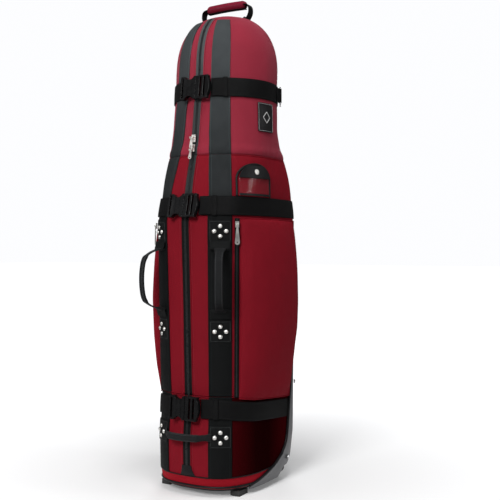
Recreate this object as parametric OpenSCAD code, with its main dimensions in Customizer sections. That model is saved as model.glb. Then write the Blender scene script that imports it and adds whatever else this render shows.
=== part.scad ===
// Wheeled golf travel case with a support pole, in millimetres.
// Front (main zip) faces -Y, right is +X, the moulded back is +Y, the floor is z = 0.

/* [Body] */
// Half the width of the body across the case
body_half = 150; // [148:1:152]
// Depth of the belly in front of the centre line
belly = 200; // [198:1:202]
// Depth of the back behind the centre line
back_depth = 186; // [184:1:188]
// Thickness of the padded cloth
cloth = 6; // [4:1:6]

/* [Hood] */
// Radius of the hood across the case
hood_r = 143; // [142:1:144]
// Height where the hood's dome starts
dome_z = 1126; // [1122:1:1130]
// Height of the dome
dome_h = 164; // [160:1:166]

/* [Front opening] */
// Height of the foot of the front panels
flap_foot = 262; // [261:1:264]
// Height of the head of the front panels
flap_head = 1225; // [1215:1:1226]

/* [Straps] */
// Height of each compression strap
strap_h = 50; // [46:1:50]
// Middle height of the top strap
top_strap_z = 1069; // [1066:1:1072]
// Middle height of the middle strap
mid_strap_z = 753; // [751:1:755]
// Middle height of the bottom strap
low_strap_z = 229; // [227:1:231]

/* [Side pockets] */
// Height of the pockets' foot
pocket_foot = 262; // [258:1:266]
// Height of the pockets' head
pocket_head = 722; // [712:1:724]
// How far the pockets stand out
pocket_bulge = 42; // [36:1:43]

/* [Wheels] */
// Radius of a wheel
wheel_r = 36; // [34:1:36]
// Width of a wheel
wheel_w = 26; // [22:1:26]

/* [Support pole] */
// Radius of the pole's lower tube
pole_r = 10.5; // [10.4:0.1:10.6]

/* [Hidden] */
base_z = 14;
flap_angle = 38;
seam = 0.7;
tape_x = 12;
pocket_front = 43;
zip_foot = 56;
tape_proud = 2.6;
wheel_x = 112;
wheel_y = 72;
axle_r = 4;
running = 0.05;
pole_y = 62;
pan_top = base_z + 6;
neck_z = 890;
WHEEL_ZONE = [[106, base_z], [114, 40], [144, 40], [152, base_z]];
// Angle from the front, and the height that the moulded plate reaches there
WING = [[54, 20], [73, 36], [94, 54], [109, 76], [116, 98], [119, 122], [123, 215], [127, 273],
        [131, 400], [150, 420], [180, 425]];
// Height, half width, front depth, back depth, front roundness, back roundness
STATIONS = [
    [14, body_half - 11, belly - 22, back_depth - 68, 2.8, 3.6],
    [30, body_half - 4, belly - 12, back_depth - 48, 2.8, 3.6],
    [55, body_half - 1, belly - 8, back_depth - 28, 2.7, 4.0],
    [130, body_half, belly - 6, back_depth - 15, 2.7, 4.4],
    [262, body_half, belly - 16, back_depth - 12, 2.7, 4.4],
    [728, body_half + 2, belly, back_depth, 2.7, 4.4],
    [786, body_half, belly - 13.5, back_depth - 4, 2.6, 4.0],
    [836, body_half - 1, belly - 25, back_depth - 11, 2.5, 3.6],
    [890, body_half - 5, belly - 37.5, back_depth - 26, 2.3, 3.0],
    [922, hood_r + 1.5, belly - 45, back_depth - 37, 2.15, 2.4],
    [970, hood_r + 1.5, belly - 50.5, back_depth - 39, 2, 2],
    [1060, hood_r + 0.5, belly - 60.5, back_depth - 38, 2, 2],
    [dome_z, hood_r, belly - 68, back_depth - 36, 2, 2],
];

// One column of STATIONS at height z
function at(z, column) = lookup(z, [for (s = STATIONS) [s[0], s[column]]]);

// How far up the dome height v is, 0 at its foot and 1 at the crown
function dome_part(v) = max(0, (v - dome_z) / dome_h);

// How much the dome has drawn in at height v
function dome_scale(v) = pow(1 - pow(min(dome_part(v), 0.9999), 2.5), 0.4);

// Distance from the centre line to the outer form, at angle a from the front and height v
function reach(a, v, off) =
    let (
        half = at(v, 1) + off,
        deep = cos(a) > 0 ? at(v, 2) + off : at(v, 3) + off,
        n = cos(a) > 0 ? at(v, 4) : at(v, 5)
    )
    dome_scale(v) * pow(pow(abs(sin(a)) / half, n) + pow(abs(cos(a)) / deep, n), -1 / n);

// A point on the outer form, off millimetres proud of it
function form(a, v, off) =
    let (r = reach(a, v, off), p = dome_part(v))
    [r * sin(a), 8 * p - r * cos(a), v + off * p];

// Angle from the front at which the form is x to the right
function angle_at(x, v) = atan(x / at(v, 2)) / dome_scale(v);

// Angle of the inner edge of the vertical webbings
function webbing_in(v) = lookup(v, [[800, 18.5], [950, 15]]);

// How far the bottom strap and the pockets' feet slope down towards the back
function drop(a) = lookup(abs(a), [[28, 0], [58, 14], [122, 30]]);

function mix(a, b, t) = a + (b - a) * t;

// A closed sheet on the form: where(u, w) gives its angle and height, low and high its offsets
module sheet(where, low, high, nu, nw) {
    row = nu + 1;
    count = row * (nw + 1);
    inner = [for (j = [0:nw], i = [0:nu])
        let (q = where(i / nu, j / nw)) form(q[0], q[1], low(i / nu, j / nw))];
    outer = [for (j = [0:nw], i = [0:nu])
        let (q = where(i / nu, j / nw)) form(q[0], q[1], high(i / nu, j / nw))];
    skin = [for (j = [0:nw - 1], i = [0:nu - 1]) let (k = j * row + i) each [
        [k, k + row + 1, k + 1], [k, k + row, k + row + 1]]];
    outside = [for (f = skin) [for (k = f) k + count]];
    inside = [for (f = skin) [f[0], f[2], f[1]]];
    rim = concat(
        [for (i = [0:nu]) i],
        [for (j = [1:nw]) j * row + nu],
        [for (i = [1:nu]) nw * row + nu - i],
        [for (j = [1:nw - 1]) (nw - j) * row]);
    edge = [for (k = [0:len(rim) - 1])
        let (p = rim[k], q = rim[(k + 1) % len(rim)]) each [
            [p, p + count, q + count], [p, q + count, q]]];
    polyhedron(points = concat(inner, outer), faces = concat(outside, inside, edge));
}

// A sheet of even thickness between two angles, which may change with height, and two heights
module band(from, to, v0, v1, low, high, nu, nw) {
    sheet(
        function (u, w) let (v = mix(v0, v1, w)) [mix(from(v), to(v), u), v],
        function (u, w) low, function (u, w) high, nu, nw);
}

module mirrored() {
    children();
    mirror([1, 0, 0]) children();
}

// ---- shell ----
module moulded_plate() {
    color("dimgray") sheet(
        function (u, w)
            let (
                a = mix(54, 306, u),
                side = min(a, 360 - a),
                low = lookup(side, WHEEL_ZONE),
                high = max(lookup(side, WING), low + 6)
            )
            [a, mix(low, high, w)],
        function (u, w) 1.5, function (u, w) 5.5, 36, 8);
}

module wheel_housing() {
    wall = 3;
    inner_x = wheel_x - wheel_w / 2 - 7;
    outer_x = wheel_x + wheel_w / 2 + 3;
    bracket = wheel_r / 2 - 4;
    top = 2 * wheel_r + 6;
    translate([inner_x, wheel_y - wheel_r - 6, pan_top - 6])
        cube([wall, 2 * wheel_r + 8, top - pan_top + 6]);
    translate([inner_x, wheel_y - bracket, top - wall])
        cube([outer_x - inner_x + wall, 2 * bracket, wall]);
    translate([outer_x, wheel_y - bracket, wheel_r - 12])
        cube([wall, 2 * bracket, top - wheel_r + 12]);
}

// The pan, its wheel housings and the pad under the foot of the pole
module base_pan() {
    color("dimgray") difference() {
        union() {
            translate([0, 0, base_z])
                linear_extrude(pan_top - base_z)
                polygon([for (a = [0:6:354]) let (p = form(a, base_z, -8)) [p[0], p[1]]]);
            mirrored() wheel_housing();
            translate([-20, -20, 0]) cube([40, 100, base_z + 1]);
        }
        mirrored() translate([wheel_x - wheel_w / 2 - 4, wheel_y - wheel_r - 4, base_z - 1])
            cube([60, 2 * wheel_r + 20, pan_top - base_z + 2]);
        mirrored() translate([wheel_x - 30, wheel_y, wheel_r]) rotate([0, 90, 0])
            cylinder(r = axle_r + running, h = 60, $fn = 48);
    }
}

// The band of cloth round the foot of the front, which ends behind the moulded plate
module base_gusset() {
    end = function (v) lookup(v, [[26, 58], [40, 74], [60, 92], [86.5, 104]]);
    color("firebrick") band(function (v) -end(v), end, 26, 86.5, -cloth, 0, 20, 2);
}

module front_lower_panel() {
    color("firebrick") band(function (v) -flap_angle + seam, function (v) flap_angle - seam,
        90, flap_foot - 2, -cloth, 0, 10, 3);
}

module body_shell() {
    color("firebrick") band(function (v) flap_angle + seam, function (v) 360 - flap_angle - seam,
        90, neck_z, -cloth, 0, 28, 10);
}

module hood_shell() {
    color("indianred") band(function (v) flap_angle + seam, function (v) 360 - flap_angle - seam,
        neck_z + 3, flap_head - 1, -cloth, 0, 24, 8);
}

// A closed cap: rings of the form from just above the front panels to the crown
module hood_crown() {
    rings = 4;
    sides = 32;
    low = flap_head + 2;
    high = dome_z + 0.99 * dome_h;
    points = [for (off = [0, -cloth], j = [0:rings], i = [0:sides - 1])
        form(360 * i / sides, mix(low, high, j / rings), off)];
    shell = sides * (rings + 1);
    skin = [for (j = [0:rings - 1], i = [0:sides - 1])
        let (k = j * sides + i, n = j * sides + (i + 1) % sides) each [
            [k, n + sides, n], [k, k + sides, n + sides]]];
    inside = [for (f = skin) [f[0] + shell, f[2] + shell, f[1] + shell]];
    foot = [for (i = [0:sides - 1]) let (n = (i + 1) % sides) each [
        [i, n, n + shell], [i, n + shell, i + shell]]];
    top = [[for (i = [0:sides - 1]) sides * rings + sides - 1 - i]];
    roof = [[for (i = [0:sides - 1]) shell + sides * rings + i]];
    color("indianred") polyhedron(points = points, faces = concat(skin, inside, foot, top, roof));
}

// ---- side pockets ----
// Share of the pocket's bulge at a place on it
function swell(u, w) = pow(sin(180 * u), 0.45) * pow(sin(180 * w), 0.5);

// Angle of the pocket's back edge, which follows the moulded plate
function pocket_back(v) = lookup(v, [[230, 120.5], [273, 123.5], [400, 127.5], [440, 131]]);

module pocket(side) {
    sheet(
        function (u, w)
            let (
                back = pocket_back(mix(pocket_foot, pocket_head, w)),
                a = side > 0 ? mix(pocket_front, back, u) : mix(back, pocket_front, u)
            )
            [side * a, mix(pocket_foot - drop(a), pocket_head, w)],
        function (u, w) 1.5 + pocket_bulge * swell(u, w),
        function (u, w) 5.5 + pocket_bulge * swell(u, w), 12, 12);
}

module pocket_left() {
    color("firebrick") pocket(-1);
}

module pocket_right() {
    color("firebrick") pocket(1);
}

module pocket_zips() {
    color("#202020") mirrored()
        band(function (v) 39, function (v) 42.4, pocket_foot, pocket_head, 1.5, tape_proud, 1, 8);
}

// ---- webbing and zips ----
module webbing(side, v0, v1, rows) {
    inner = function (v) side > 0 ? webbing_in(v) : -(flap_angle - 1);
    outer = function (v) side > 0 ? flap_angle - 1 : -webbing_in(v);
    band(inner, outer, v0, v1, 1.5, 4, 4, rows);
}

module zip_half(side, v0, v1, rows) {
    inner = function (v) side > 0 ? angle_at(0.4, v) : -angle_at(tape_x, v);
    outer = function (v) side > 0 ? angle_at(tape_x, v) : -angle_at(0.4, v);
    band(inner, outer, v0, v1, 1.5, tape_proud, 1, rows);
}

module lower_webbings() {
    color("#202020") {
        webbing(1, zip_foot - 4, flap_foot - 2, 4);
        webbing(-1, zip_foot - 4, flap_foot - 2, 4);
    }
}

module lower_zip() {
    color("#202020") band(function (v) -angle_at(tape_x, v), function (v) angle_at(tape_x, v),
        zip_foot, flap_foot - 2, 1.5, tape_proud, 2, 4);
}

// ---- compression straps ----
module strap_run(from, to, z, nu, proud = 5.5) {
    color("#202020") sheet(
        function (u, w)
            let (a = mix(from, to, u))
            [a, z + (w - 0.5) * strap_h - (z == low_strap_z ? drop(a) : 0)],
        function (u, w) proud, function (u, w) proud + 2.5, nu, 1);
}

// The straps' fixed runs: round the back at the top and middle, round both sides at the bottom
module compression_straps() {
    strap_run(flap_angle + 2.2, 360 - flap_angle - 2.2, top_strap_z, 32, 1.6);
    strap_run(flap_angle + 2.2, 360 - flap_angle - 2.2, mid_strap_z, 32, 1.6);
    strap_run(15.5, 117, low_strap_z, 14);
    strap_run(-117, -15.5, low_strap_z, 14);
}

module left_strap_ends() {
    strap_run(-flap_angle + 2, -22, top_strap_z, 4);
    strap_run(-flap_angle + 2, -16.5, mid_strap_z, 4);
}

module right_strap_ends() {
    strap_run(22, flap_angle - 2, top_strap_z, 4);
    strap_run(16.5, flap_angle - 2, mid_strap_z, 4);
}

// ---- side-release buckles, drawn with x along the strap, y outward and z up ----
buckle_h = 62;
buckle_t = 14;
socket_w = 47;
socket_end = 2;
plug_end = 44;
prong = 18;
arm_y = 3.2;
arm_t = 3;
buckle_proud = 3.4;
low_buckle_proud = 6;

module buckle_socket() {
    left = socket_end - socket_w;
    difference() {
        translate([left, 0, -buckle_h / 2]) cube([socket_w, buckle_t, buckle_h]);
        translate([socket_end - 36, 3, -25]) cube([40, buckle_t - 6, 50]);
        for (s = [-1, 1])
            translate([socket_end - 20, -1, s * (buckle_h / 2 + 6)]) rotate([-90, 0, 0])
                cylinder(r = 15, h = buckle_t + 2, $fn = 48);
        translate([left + 4, -1, -26]) cube([5, buckle_t + 2, 52]);
    }
}

module buckle_plug() {
    difference() {
        union() {
            translate([socket_end + 1, 0.5, -buckle_h / 2])
                cube([plug_end - socket_end - 6, buckle_t - 1, buckle_h]);
            intersection() {
                translate([plug_end - 60, 0.5, 0]) rotate([-90, 0, 0])
                    cylinder(r = 60, h = buckle_t - 1, $fn = 96);
                translate([plug_end - 6, 0, -buckle_h / 2]) cube([8, buckle_t, buckle_h]);
            }
            for (s = [-1, 1]) {
                translate([socket_end - prong, arm_y, s * 18 - 4]) cube([prong + 2, arm_t, 8]);
                translate([socket_end - prong + 2, arm_y, s * 20 - 3]) cube([9, arm_t, 6]);
            }
            translate([socket_end - prong + 6, arm_y, -3]) cube([prong - 4, arm_t, 6]);
        }
        for (x = [socket_end + 12, socket_end + 24])
            translate([x, -1, -26]) cube([6, buckle_t + 2, 52]);
    }
}

// Puts a buckle half on the front of the case, leaning with the cloth behind it
module on_front(z, proud) {
    y = form(0, z, 0)[1] - proud;
    slope = form(0, z + 25, 0)[1] - form(0, z - 25, 0)[1];
    translate([0, y, z]) rotate([-atan(slope / 50), 0, 0]) mirror([0, 1, 0]) children();
}

module top_buckle_socket() {
    color("#181818") on_front(top_strap_z, buckle_proud) buckle_socket();
}

module middle_buckle_socket() {
    color("#181818") on_front(mid_strap_z, buckle_proud) buckle_socket();
}

module bottom_buckle_socket() {
    color("#181818") on_front(low_strap_z, low_buckle_proud) buckle_socket();
}

module top_buckle_plug() {
    color("#181818") on_front(top_strap_z, buckle_proud) buckle_plug();
}

module middle_buckle_plug() {
    color("#181818") on_front(mid_strap_z, buckle_proud) buckle_plug();
}

module bottom_buckle_plug() {
    color("#181818") on_front(low_strap_z, low_buckle_proud) buckle_plug();
}

// ---- front panels ----
module flap_panel(side) {
    inner = function (v) side > 0 ? angle_at(1, v) : -(flap_angle - seam);
    outer = function (v) side > 0 ? flap_angle - seam : -angle_at(1, v);
    color("firebrick") band(inner, outer, flap_foot, flap_head, -cloth, 0, 6, 14);
}

module left_flap_panel() {
    flap_panel(-1);
}

module right_flap_panel() {
    flap_panel(1);
}

module left_webbing() {
    color("#202020") webbing(-1, flap_foot, flap_head, 14);
}

module right_webbing() {
    color("#202020") webbing(1, flap_foot, flap_head, 14);
}

module left_zip_half() {
    color("#202020") zip_half(-1, flap_foot, flap_head, 14);
}

module right_zip_half() {
    color("#202020") zip_half(1, flap_foot, flap_head, 14);
}

// ---- carry handles ----
handle_angle = 28;
handle_top = 652;
handle_foot = 474;
handle_reach = 68;
handle_lift = 11;

// A domed rivet standing on a webbing, at angle a and height z
module rivet(a, z) {
    p = form(a, z, 4.6);
    translate(p) rotate([90, 0, a]) intersection() {
        translate([0, 0, -4]) sphere(r = 7, $fn = 32);
        cylinder(r = 5.5, h = 6, $fn = 32);
    }
}

// Four rivets set as a diamond
module rivet_set(a, z) {
    rivet(a - 4.3, z);
    rivet(a + 4.3, z);
    rivet(a, z - 13);
    rivet(a, z + 13);
}

module left_handle_rivets() {
    color("silver") {
        rivet_set(-handle_angle, 688);
        rivet_set(-handle_angle, 430);
    }
}

module right_handle_rivets() {
    color("silver") {
        rivet_set(handle_angle, 688);
        rivet_set(handle_angle, 430);
    }
}

module lower_handle_rivets() {
    color("silver") {
        rivet_set(handle_angle, 158);
        rivet_set(-handle_angle, 158);
    }
}

// The loop of a carry handle: two legs that narrow to their anchors, and an upright grip
module carry_handle(side) {
    p = form(side * handle_angle, (handle_top + handle_foot) / 2, handle_lift);
    h = handle_top - handle_foot;
    translate([p[0], p[1], handle_foot]) rotate([0, 0, side * handle_angle]) {
        translate([-7, -handle_reach, h / 2 - 60]) cube([14, 14, 120]);
        for (s = [-1, 1]) translate([0, 0, h / 2]) mirror([0, 0, s > 0 ? 0 : 1])
            rotate([90, 0, 90]) translate([0, 0, -5]) linear_extrude(10)
            polygon([[0, h / 2 - 4], [0, h / 2 + 2], [-handle_reach, 62], [-handle_reach, 50],
                [-handle_reach + 12, 50]]);
    }
}

module carry_handle_left() {
    color("#202020") carry_handle(-1);
}

module carry_handle_right() {
    color("#202020") carry_handle(1);
}

// The strap low on the front, between the two webbings, with narrow ends that turn in their anchors
module lower_handle() {
    z = 158;
    end_x = form(handle_angle, z, 0)[0] - 10;
    end_y = form(handle_angle, z, 16)[1] - 1;
    front = form(0, z, 34)[1];
    color("#202020") {
        translate([0, 0, z - 12]) linear_extrude(24) polygon([
            [-64, front + 9], [0, front + 8], [64, front + 9],
            [60, front + 2], [0, front], [-60, front + 2]]);
        mirrored() translate([0, 0, z - 4]) linear_extrude(8) polygon([
            [end_x, end_y], [63, front + 8.9], [59, front + 2], [end_x, end_y - 7]]);
    }
}

module top_handle() {
    crown = dome_z + dome_h;
    color("firebrick") translate([0, 8, crown]) {
        translate([-75, 0, 31]) rotate([0, 90, 0]) cylinder(r = 11.5, h = 150, $fn = 32);
        for (s = [-1, 1]) translate([s * 76 - 2, -11, -6]) cube([4, 22, 36]);
    }
}

// ---- wheels ----
module wheel_core() {
    difference() {
        union() {
            cylinder(r = wheel_r - 12, h = wheel_w - 6, center = true, $fn = 64);
            cylinder(r = 9, h = wheel_w, center = true, $fn = 48);
        }
        cylinder(r = axle_r + running, h = wheel_w + 2, center = true, $fn = 48);
    }
}

module wheel_tyre() {
    rotate_extrude($fn = 64) difference() {
        translate([wheel_r - 11.9, -wheel_w / 2]) square([11.9, wheel_w]);
        for (s = [-1, 1]) translate([wheel_r, s * wheel_w / 2]) rotate([0, 0, 45])
            square([7, 7], center = true);
    }
}

module at_wheel(side) {
    translate([side * wheel_x, wheel_y, wheel_r]) rotate([0, 90, 0]) children();
}

module wheel_core_left() {
    color("silver") at_wheel(-1) wheel_core();
}

module wheel_core_right() {
    color("silver") at_wheel(1) wheel_core();
}

module wheel_tyre_left() {
    color("#303030") at_wheel(-1) wheel_tyre();
}

module wheel_tyre_right() {
    color("#303030") at_wheel(1) wheel_tyre();
}

module wheel_axles() {
    color("silver") for (side = [-1, 1]) at_wheel(side)
        cylinder(r = axle_r, h = wheel_w + 16, center = true, $fn = 48);
}

module front_feet() {
    color("#181818") mirrored() translate([96, -132, 0]) difference() {
        cube([28, 44, base_z]);
        translate([-1, 0, 0]) rotate([40, 0, 0]) translate([0, -20, -12]) cube([30, 20, 24]);
    }
}

module plate_screws() {
    color("gray") for (side = [-1, 1]) {
        p = form(side * 118, 62, 6.6);
        q = form(side * 134, 265, 6.6);
        translate(p) rotate([90, 0, side * 105]) cylinder(r = 6, h = 3, $fn = 32);
        translate(q) rotate([90, 0, side * 125]) cylinder(r = 6, h = 3, $fn = 32);
    }
}

// ---- sliders and pulls ----
// Puts a part on the centre of the front at height z, leaning with the cloth; y is outward
module on_zip(z, proud, run) {
    y = form(0, z, 0)[1] - proud;
    slope = form(0, z + run, 0)[1] - form(0, z, 0)[1];
    translate([0, y, z]) rotate([-atan(slope / run), 0, 0]) mirror([0, 1, 0]) children();
}

// A slider: its body on the teeth, and two ears that hold the pull's pin at height tall
module slider(tall, pin_z) {
    translate([-6, 0, -10]) cube([12, 3, 20]);
    difference() {
        for (x = [-5, 3.3]) translate([x, 2, pin_z - 2.5]) cube([1.7, tall + 0.5, 5]);
        translate([-7, tall, pin_z]) rotate([0, 90, 0])
            cylinder(r = pin_r + running, h = 14, $fn = 32);
    }
}

// A flat pull that hangs from its pin, with a padlock hole at its foot; the pin is at the origin
module pull(length, width) {
    tip = -length + width / 2;
    rotate([0, 90, 0]) cylinder(r = pin_r, h = 10, center = true, $fn = 32);
    translate([-2.8, -0.9, -8]) cube([5.6, 1.8, 8]);
    rotate([90, 0, 0]) linear_extrude(1.8, center = true) difference() {
        union() {
            polygon([[-2.8, -6], [2.8, -6], [width / 2, tip], [-width / 2, tip]]);
            translate([0, tip]) circle(r = width / 2, $fn = 32);
        }
        translate([0, tip]) circle(r = 2, $fn = 32);
    }
}

pin_r = 1;
upper_slider_z = 934;
lower_slider_z = 908;
slider_proud = 4.6;
upper_pin = 11.3;
lower_pin = 8.7;

module upper_slider() {
    color("silver") on_zip(upper_slider_z, slider_proud, 60) slider(upper_pin, 0);
}

module lower_slider() {
    color("silver") on_zip(lower_slider_z, slider_proud, -60) slider(lower_pin, -7);
}

module upper_pull() {
    color("silver") on_zip(upper_slider_z, slider_proud, 60)
        translate([0, upper_pin, 0]) pull(28, 10);
}

module lower_pull() {
    color("silver") on_zip(lower_slider_z, slider_proud, -60)
        translate([0, lower_pin, -7]) pull(26, 9);
}

// Puts a part on a pocket's zip near its head; y is outward
module on_pocket_zip(side) {
    translate(form(side * 40.6, pocket_head - 16, slider_proud)) rotate([0, 0, side * 40.6])
        mirror([0, 1, 0]) children();
}

module pocket_slider_left() {
    color("silver") on_pocket_zip(-1) scale(0.8) slider(6, 0);
}

module pocket_slider_right() {
    color("silver") on_pocket_zip(1) scale(0.8) slider(6, 0);
}

module pocket_pull_left() {
    color("silver") on_pocket_zip(-1) scale(0.8) translate([0, 6, 0]) pull(66, 16);
}

module pocket_pull_right() {
    color("silver") on_pocket_zip(1) scale(0.8) translate([0, 6, 0]) pull(66, 16);
}

// ---- name-card pocket, patch and ring ----
module id_pocket() {
    color("#181818") band(function (v) 41.5, function (v) 80.5, 784, 862, 1.5, 3.5, 10, 4);
}

module id_flap() {
    color("#181818") band(function (v) 42, function (v) 80, 788, 860, 5.5, 8, 10, 4);
}

module maker_patch() {
    color("#181818") band(function (v) 68, function (v) 92, 957, 1035, 1.5, 4, 6, 2);
}

module strap_ring() {
    a = 118;
    p = form(a, top_strap_z, 8.5);
    ring = 52;
    width = 26;
    wire = 4;
    color("silver") translate(p) rotate([0, 0, a]) difference() {
        translate([-width / 2, -wire / 2, -ring / 2]) cube([width, wire, ring]);
        translate([-width / 2 + wire, -wire, -ring / 2 + wire])
            cube([width - 2 * wire, 2 * wire, ring - 2 * wire]);
    }
}

// ---- support pole ----
pole_base = pan_top + 0.5;
lower_top = 552;
middle_top = 916;
upper_top = 1204;
tube_wall = 1.4;
middle_r = pole_r - tube_wall - 0.08;
upper_r = middle_r - tube_wall - 0.08;

module tube(r, z0, z1) {
    translate([0, pole_y, z0]) difference() {
        cylinder(r = r, h = z1 - z0, $fn = 48);
        translate([0, 0, -1]) cylinder(r = r - tube_wall, h = z1 - z0 + 2, $fn = 48);
    }
}

module pole_lower_tube() {
    color("gainsboro") tube(pole_r, pole_base + 8, lower_top);
}

module pole_middle_tube() {
    color("gainsboro") tube(middle_r, lower_top - 200, middle_top);
}

module pole_upper_tube() {
    color("gainsboro") tube(upper_r, middle_top - 160, upper_top);
}

module pole_foot() {
    color("red") translate([0, pole_y, pole_base]) difference() {
        cylinder(r = 14, h = 30, $fn = 48);
        translate([0, 0, 8]) cylinder(r = pole_r, h = 30, $fn = 48);
    }
}

module collar(r, outer, z, h) {
    translate([0, pole_y, z]) difference() {
        cylinder(r = outer, h = h, $fn = 48);
        translate([0, 0, -1]) cylinder(r = r, h = h + 2, $fn = 48);
    }
}

module pole_lower_collar() {
    color("red") collar(pole_r, 13, lower_top - 27, 27);
}

module pole_upper_collar() {
    color("red") collar(middle_r, 11.2, middle_top - 29, 29);
}

module pole_dome() {
    color("red") translate([0, pole_y, upper_top]) {
        intersection() {
            cylinder(r = 62, h = 24, $fn = 64);
            translate([0, 0, -76]) sphere(r = 99, $fn = 96);
        }
    }
}

moulded_plate();
base_pan();
base_gusset();
front_lower_panel();
body_shell();
hood_shell();
hood_crown();
pocket_left();
pocket_right();
pocket_zips();
wheel_axles();
front_feet();
plate_screws();
compression_straps();
bottom_buckle_socket();
lower_webbings();
lower_handle_rivets();
lower_zip();
id_pocket();
maker_patch();
pole_lower_tube();
pole_foot();
pole_lower_collar();
left_flap_panel();
left_webbing();
left_zip_half();
left_handle_rivets();
left_strap_ends();
top_buckle_socket();
middle_buckle_socket();
right_flap_panel();
right_webbing();
right_zip_half();
right_handle_rivets();
right_strap_ends();
top_buckle_plug();
middle_buckle_plug();
bottom_buckle_plug();
carry_handle_left();
carry_handle_right();
lower_handle();
top_handle();
wheel_core_left();
wheel_core_right();
wheel_tyre_left();
wheel_tyre_right();
upper_slider();
lower_slider();
upper_pull();
lower_pull();
pocket_slider_left();
pocket_pull_left();
pocket_slider_right();
pocket_pull_right();
id_flap();
strap_ring();
pole_middle_tube();
pole_upper_collar();
pole_upper_tube();
pole_dome();
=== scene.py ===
"""Looks of the golf travel case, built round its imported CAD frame.

Lengths are in metres and angles in degrees.
"""
import math

import bpy
import numpy as np
from mathutils import Matrix, Vector, noise


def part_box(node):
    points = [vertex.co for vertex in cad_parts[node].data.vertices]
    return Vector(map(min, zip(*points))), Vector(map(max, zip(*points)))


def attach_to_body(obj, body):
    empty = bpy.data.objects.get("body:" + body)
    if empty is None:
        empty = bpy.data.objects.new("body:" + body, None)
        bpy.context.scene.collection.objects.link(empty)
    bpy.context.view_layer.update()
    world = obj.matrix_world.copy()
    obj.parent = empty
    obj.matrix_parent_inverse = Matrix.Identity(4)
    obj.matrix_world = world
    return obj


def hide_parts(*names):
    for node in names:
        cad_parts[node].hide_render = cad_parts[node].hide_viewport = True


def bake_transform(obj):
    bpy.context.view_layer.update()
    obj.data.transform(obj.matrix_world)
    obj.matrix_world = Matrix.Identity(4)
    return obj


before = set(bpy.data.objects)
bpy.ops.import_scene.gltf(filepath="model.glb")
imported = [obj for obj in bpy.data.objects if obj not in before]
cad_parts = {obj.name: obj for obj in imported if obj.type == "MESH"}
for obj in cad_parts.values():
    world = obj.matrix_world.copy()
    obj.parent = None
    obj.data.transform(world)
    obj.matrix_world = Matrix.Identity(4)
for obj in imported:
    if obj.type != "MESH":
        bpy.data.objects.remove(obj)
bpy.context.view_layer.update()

# ---------------------------------------------------------------- sizes, from the frame
MM = 0.001
BODY_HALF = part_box("body_shell")[1].x - 2 * MM
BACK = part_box("body_shell")[1].y
BELLY = -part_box("left_flap_panel")[0].y
HOOD_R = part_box("hood_shell")[1].x - 1.5 * MM
FLAP_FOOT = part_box("left_flap_panel")[0].z
DOME_Z = 1.126
DOME_H = (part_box("hood_crown")[1].z - DOME_Z) / 0.99
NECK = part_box("body_shell")[1].z
POCKET_FOOT_FRONT, POCKET_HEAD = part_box("pocket_zips")[0].z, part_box("pocket_zips")[1].z
STRAP_H = 50 * MM
TOP_STRAP = (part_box("top_buckle_socket")[0].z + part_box("top_buckle_socket")[1].z) / 2
MID_STRAP = (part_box("middle_buckle_socket")[0].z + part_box("middle_buckle_socket")[1].z) / 2
LOW_STRAP = (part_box("bottom_buckle_socket")[0].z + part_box("bottom_buckle_socket")[1].z) / 2
STRAPS = (LOW_STRAP, MID_STRAP, TOP_STRAP)
SKIRT_Z = 22 * MM
GUSSET_Z = 52 * MM
ZIP_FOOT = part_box("lower_zip")[0].z
ZIP_HEAD = 1.270
FOLD = 38.0
HANDLE_ANGLE = 28.0
TAPE = 12 * MM

# Height, half width, front depth, back depth, front roundness, back roundness
STATIONS = np.array([
    [0.014, BODY_HALF - 0.011, BELLY - 0.022, BACK - 0.068, 2.8, 3.6],
    [0.030, BODY_HALF - 0.004, BELLY - 0.012, BACK - 0.048, 2.8, 3.6],
    [0.055, BODY_HALF - 0.001, BELLY - 0.008, BACK - 0.028, 2.7, 4.0],
    [0.130, BODY_HALF, BELLY - 0.006, BACK - 0.015, 2.7, 4.4],
    [0.262, BODY_HALF, BELLY - 0.016, BACK - 0.012, 2.7, 4.4],
    [0.728, BODY_HALF + 0.002, BELLY, BACK, 2.7, 4.4],
    [0.786, BODY_HALF, BELLY - 0.0135, BACK - 0.004, 2.6, 4.0],
    [0.836, BODY_HALF - 0.001, BELLY - 0.025, BACK - 0.011, 2.5, 3.6],
    [0.890, BODY_HALF - 0.005, BELLY - 0.0375, BACK - 0.026, 2.3, 3.0],
    [0.922, HOOD_R + 0.0015, BELLY - 0.045, BACK - 0.037, 2.15, 2.4],
    [0.970, HOOD_R + 0.0015, BELLY - 0.0505, BACK - 0.039, 2.0, 2.0],
    [1.060, HOOD_R + 0.0005, BELLY - 0.0605, BACK - 0.038, 2.0, 2.0],
    [DOME_Z, HOOD_R, BELLY - 0.068, BACK - 0.036, 2.0, 2.0],
])
CROWN_SHIFT = 8 * MM
LEVELS = {LOW_STRAP: "bottom", MID_STRAP: "middle", TOP_STRAP: "top"}
SIDES = {1: "right", -1: "left"}


# ---------------------------------------------------------------- the case's outer form
def station(v, column):
    """A column of STATIONS at heights v, eased a little so that the profile has no corners."""
    reach = 9 * MM
    return sum(np.interp(v + k * reach, STATIONS[:, 0], STATIONS[:, column])
               for k in (-1, 0, 1)) / 3


def form(a, v, off):
    """Points off metres proud of the outer form, at angles a from the front and heights v."""
    a, v, off = np.broadcast_arrays(*(np.asarray(x, float) for x in (a, v, off)))
    part = np.clip((v - DOME_Z) / DOME_H, 0, 1)
    drawn_in = (1 - np.minimum(part, 0.99999) ** 2.5) ** 0.4
    s, c = np.sin(np.radians(a)), np.cos(np.radians(a))
    front = c > 0
    half = station(v, 1) + off
    deep = np.where(front, station(v, 2), station(v, 3)) + off
    n = np.where(front, station(v, 4), station(v, 5))
    r = drawn_in * ((abs(s) / half) ** n + (abs(c) / deep) ** n) ** (-1 / n)
    return np.stack([r * s, CROWN_SHIFT * part - r * c, v + off * part], -1)


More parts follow.
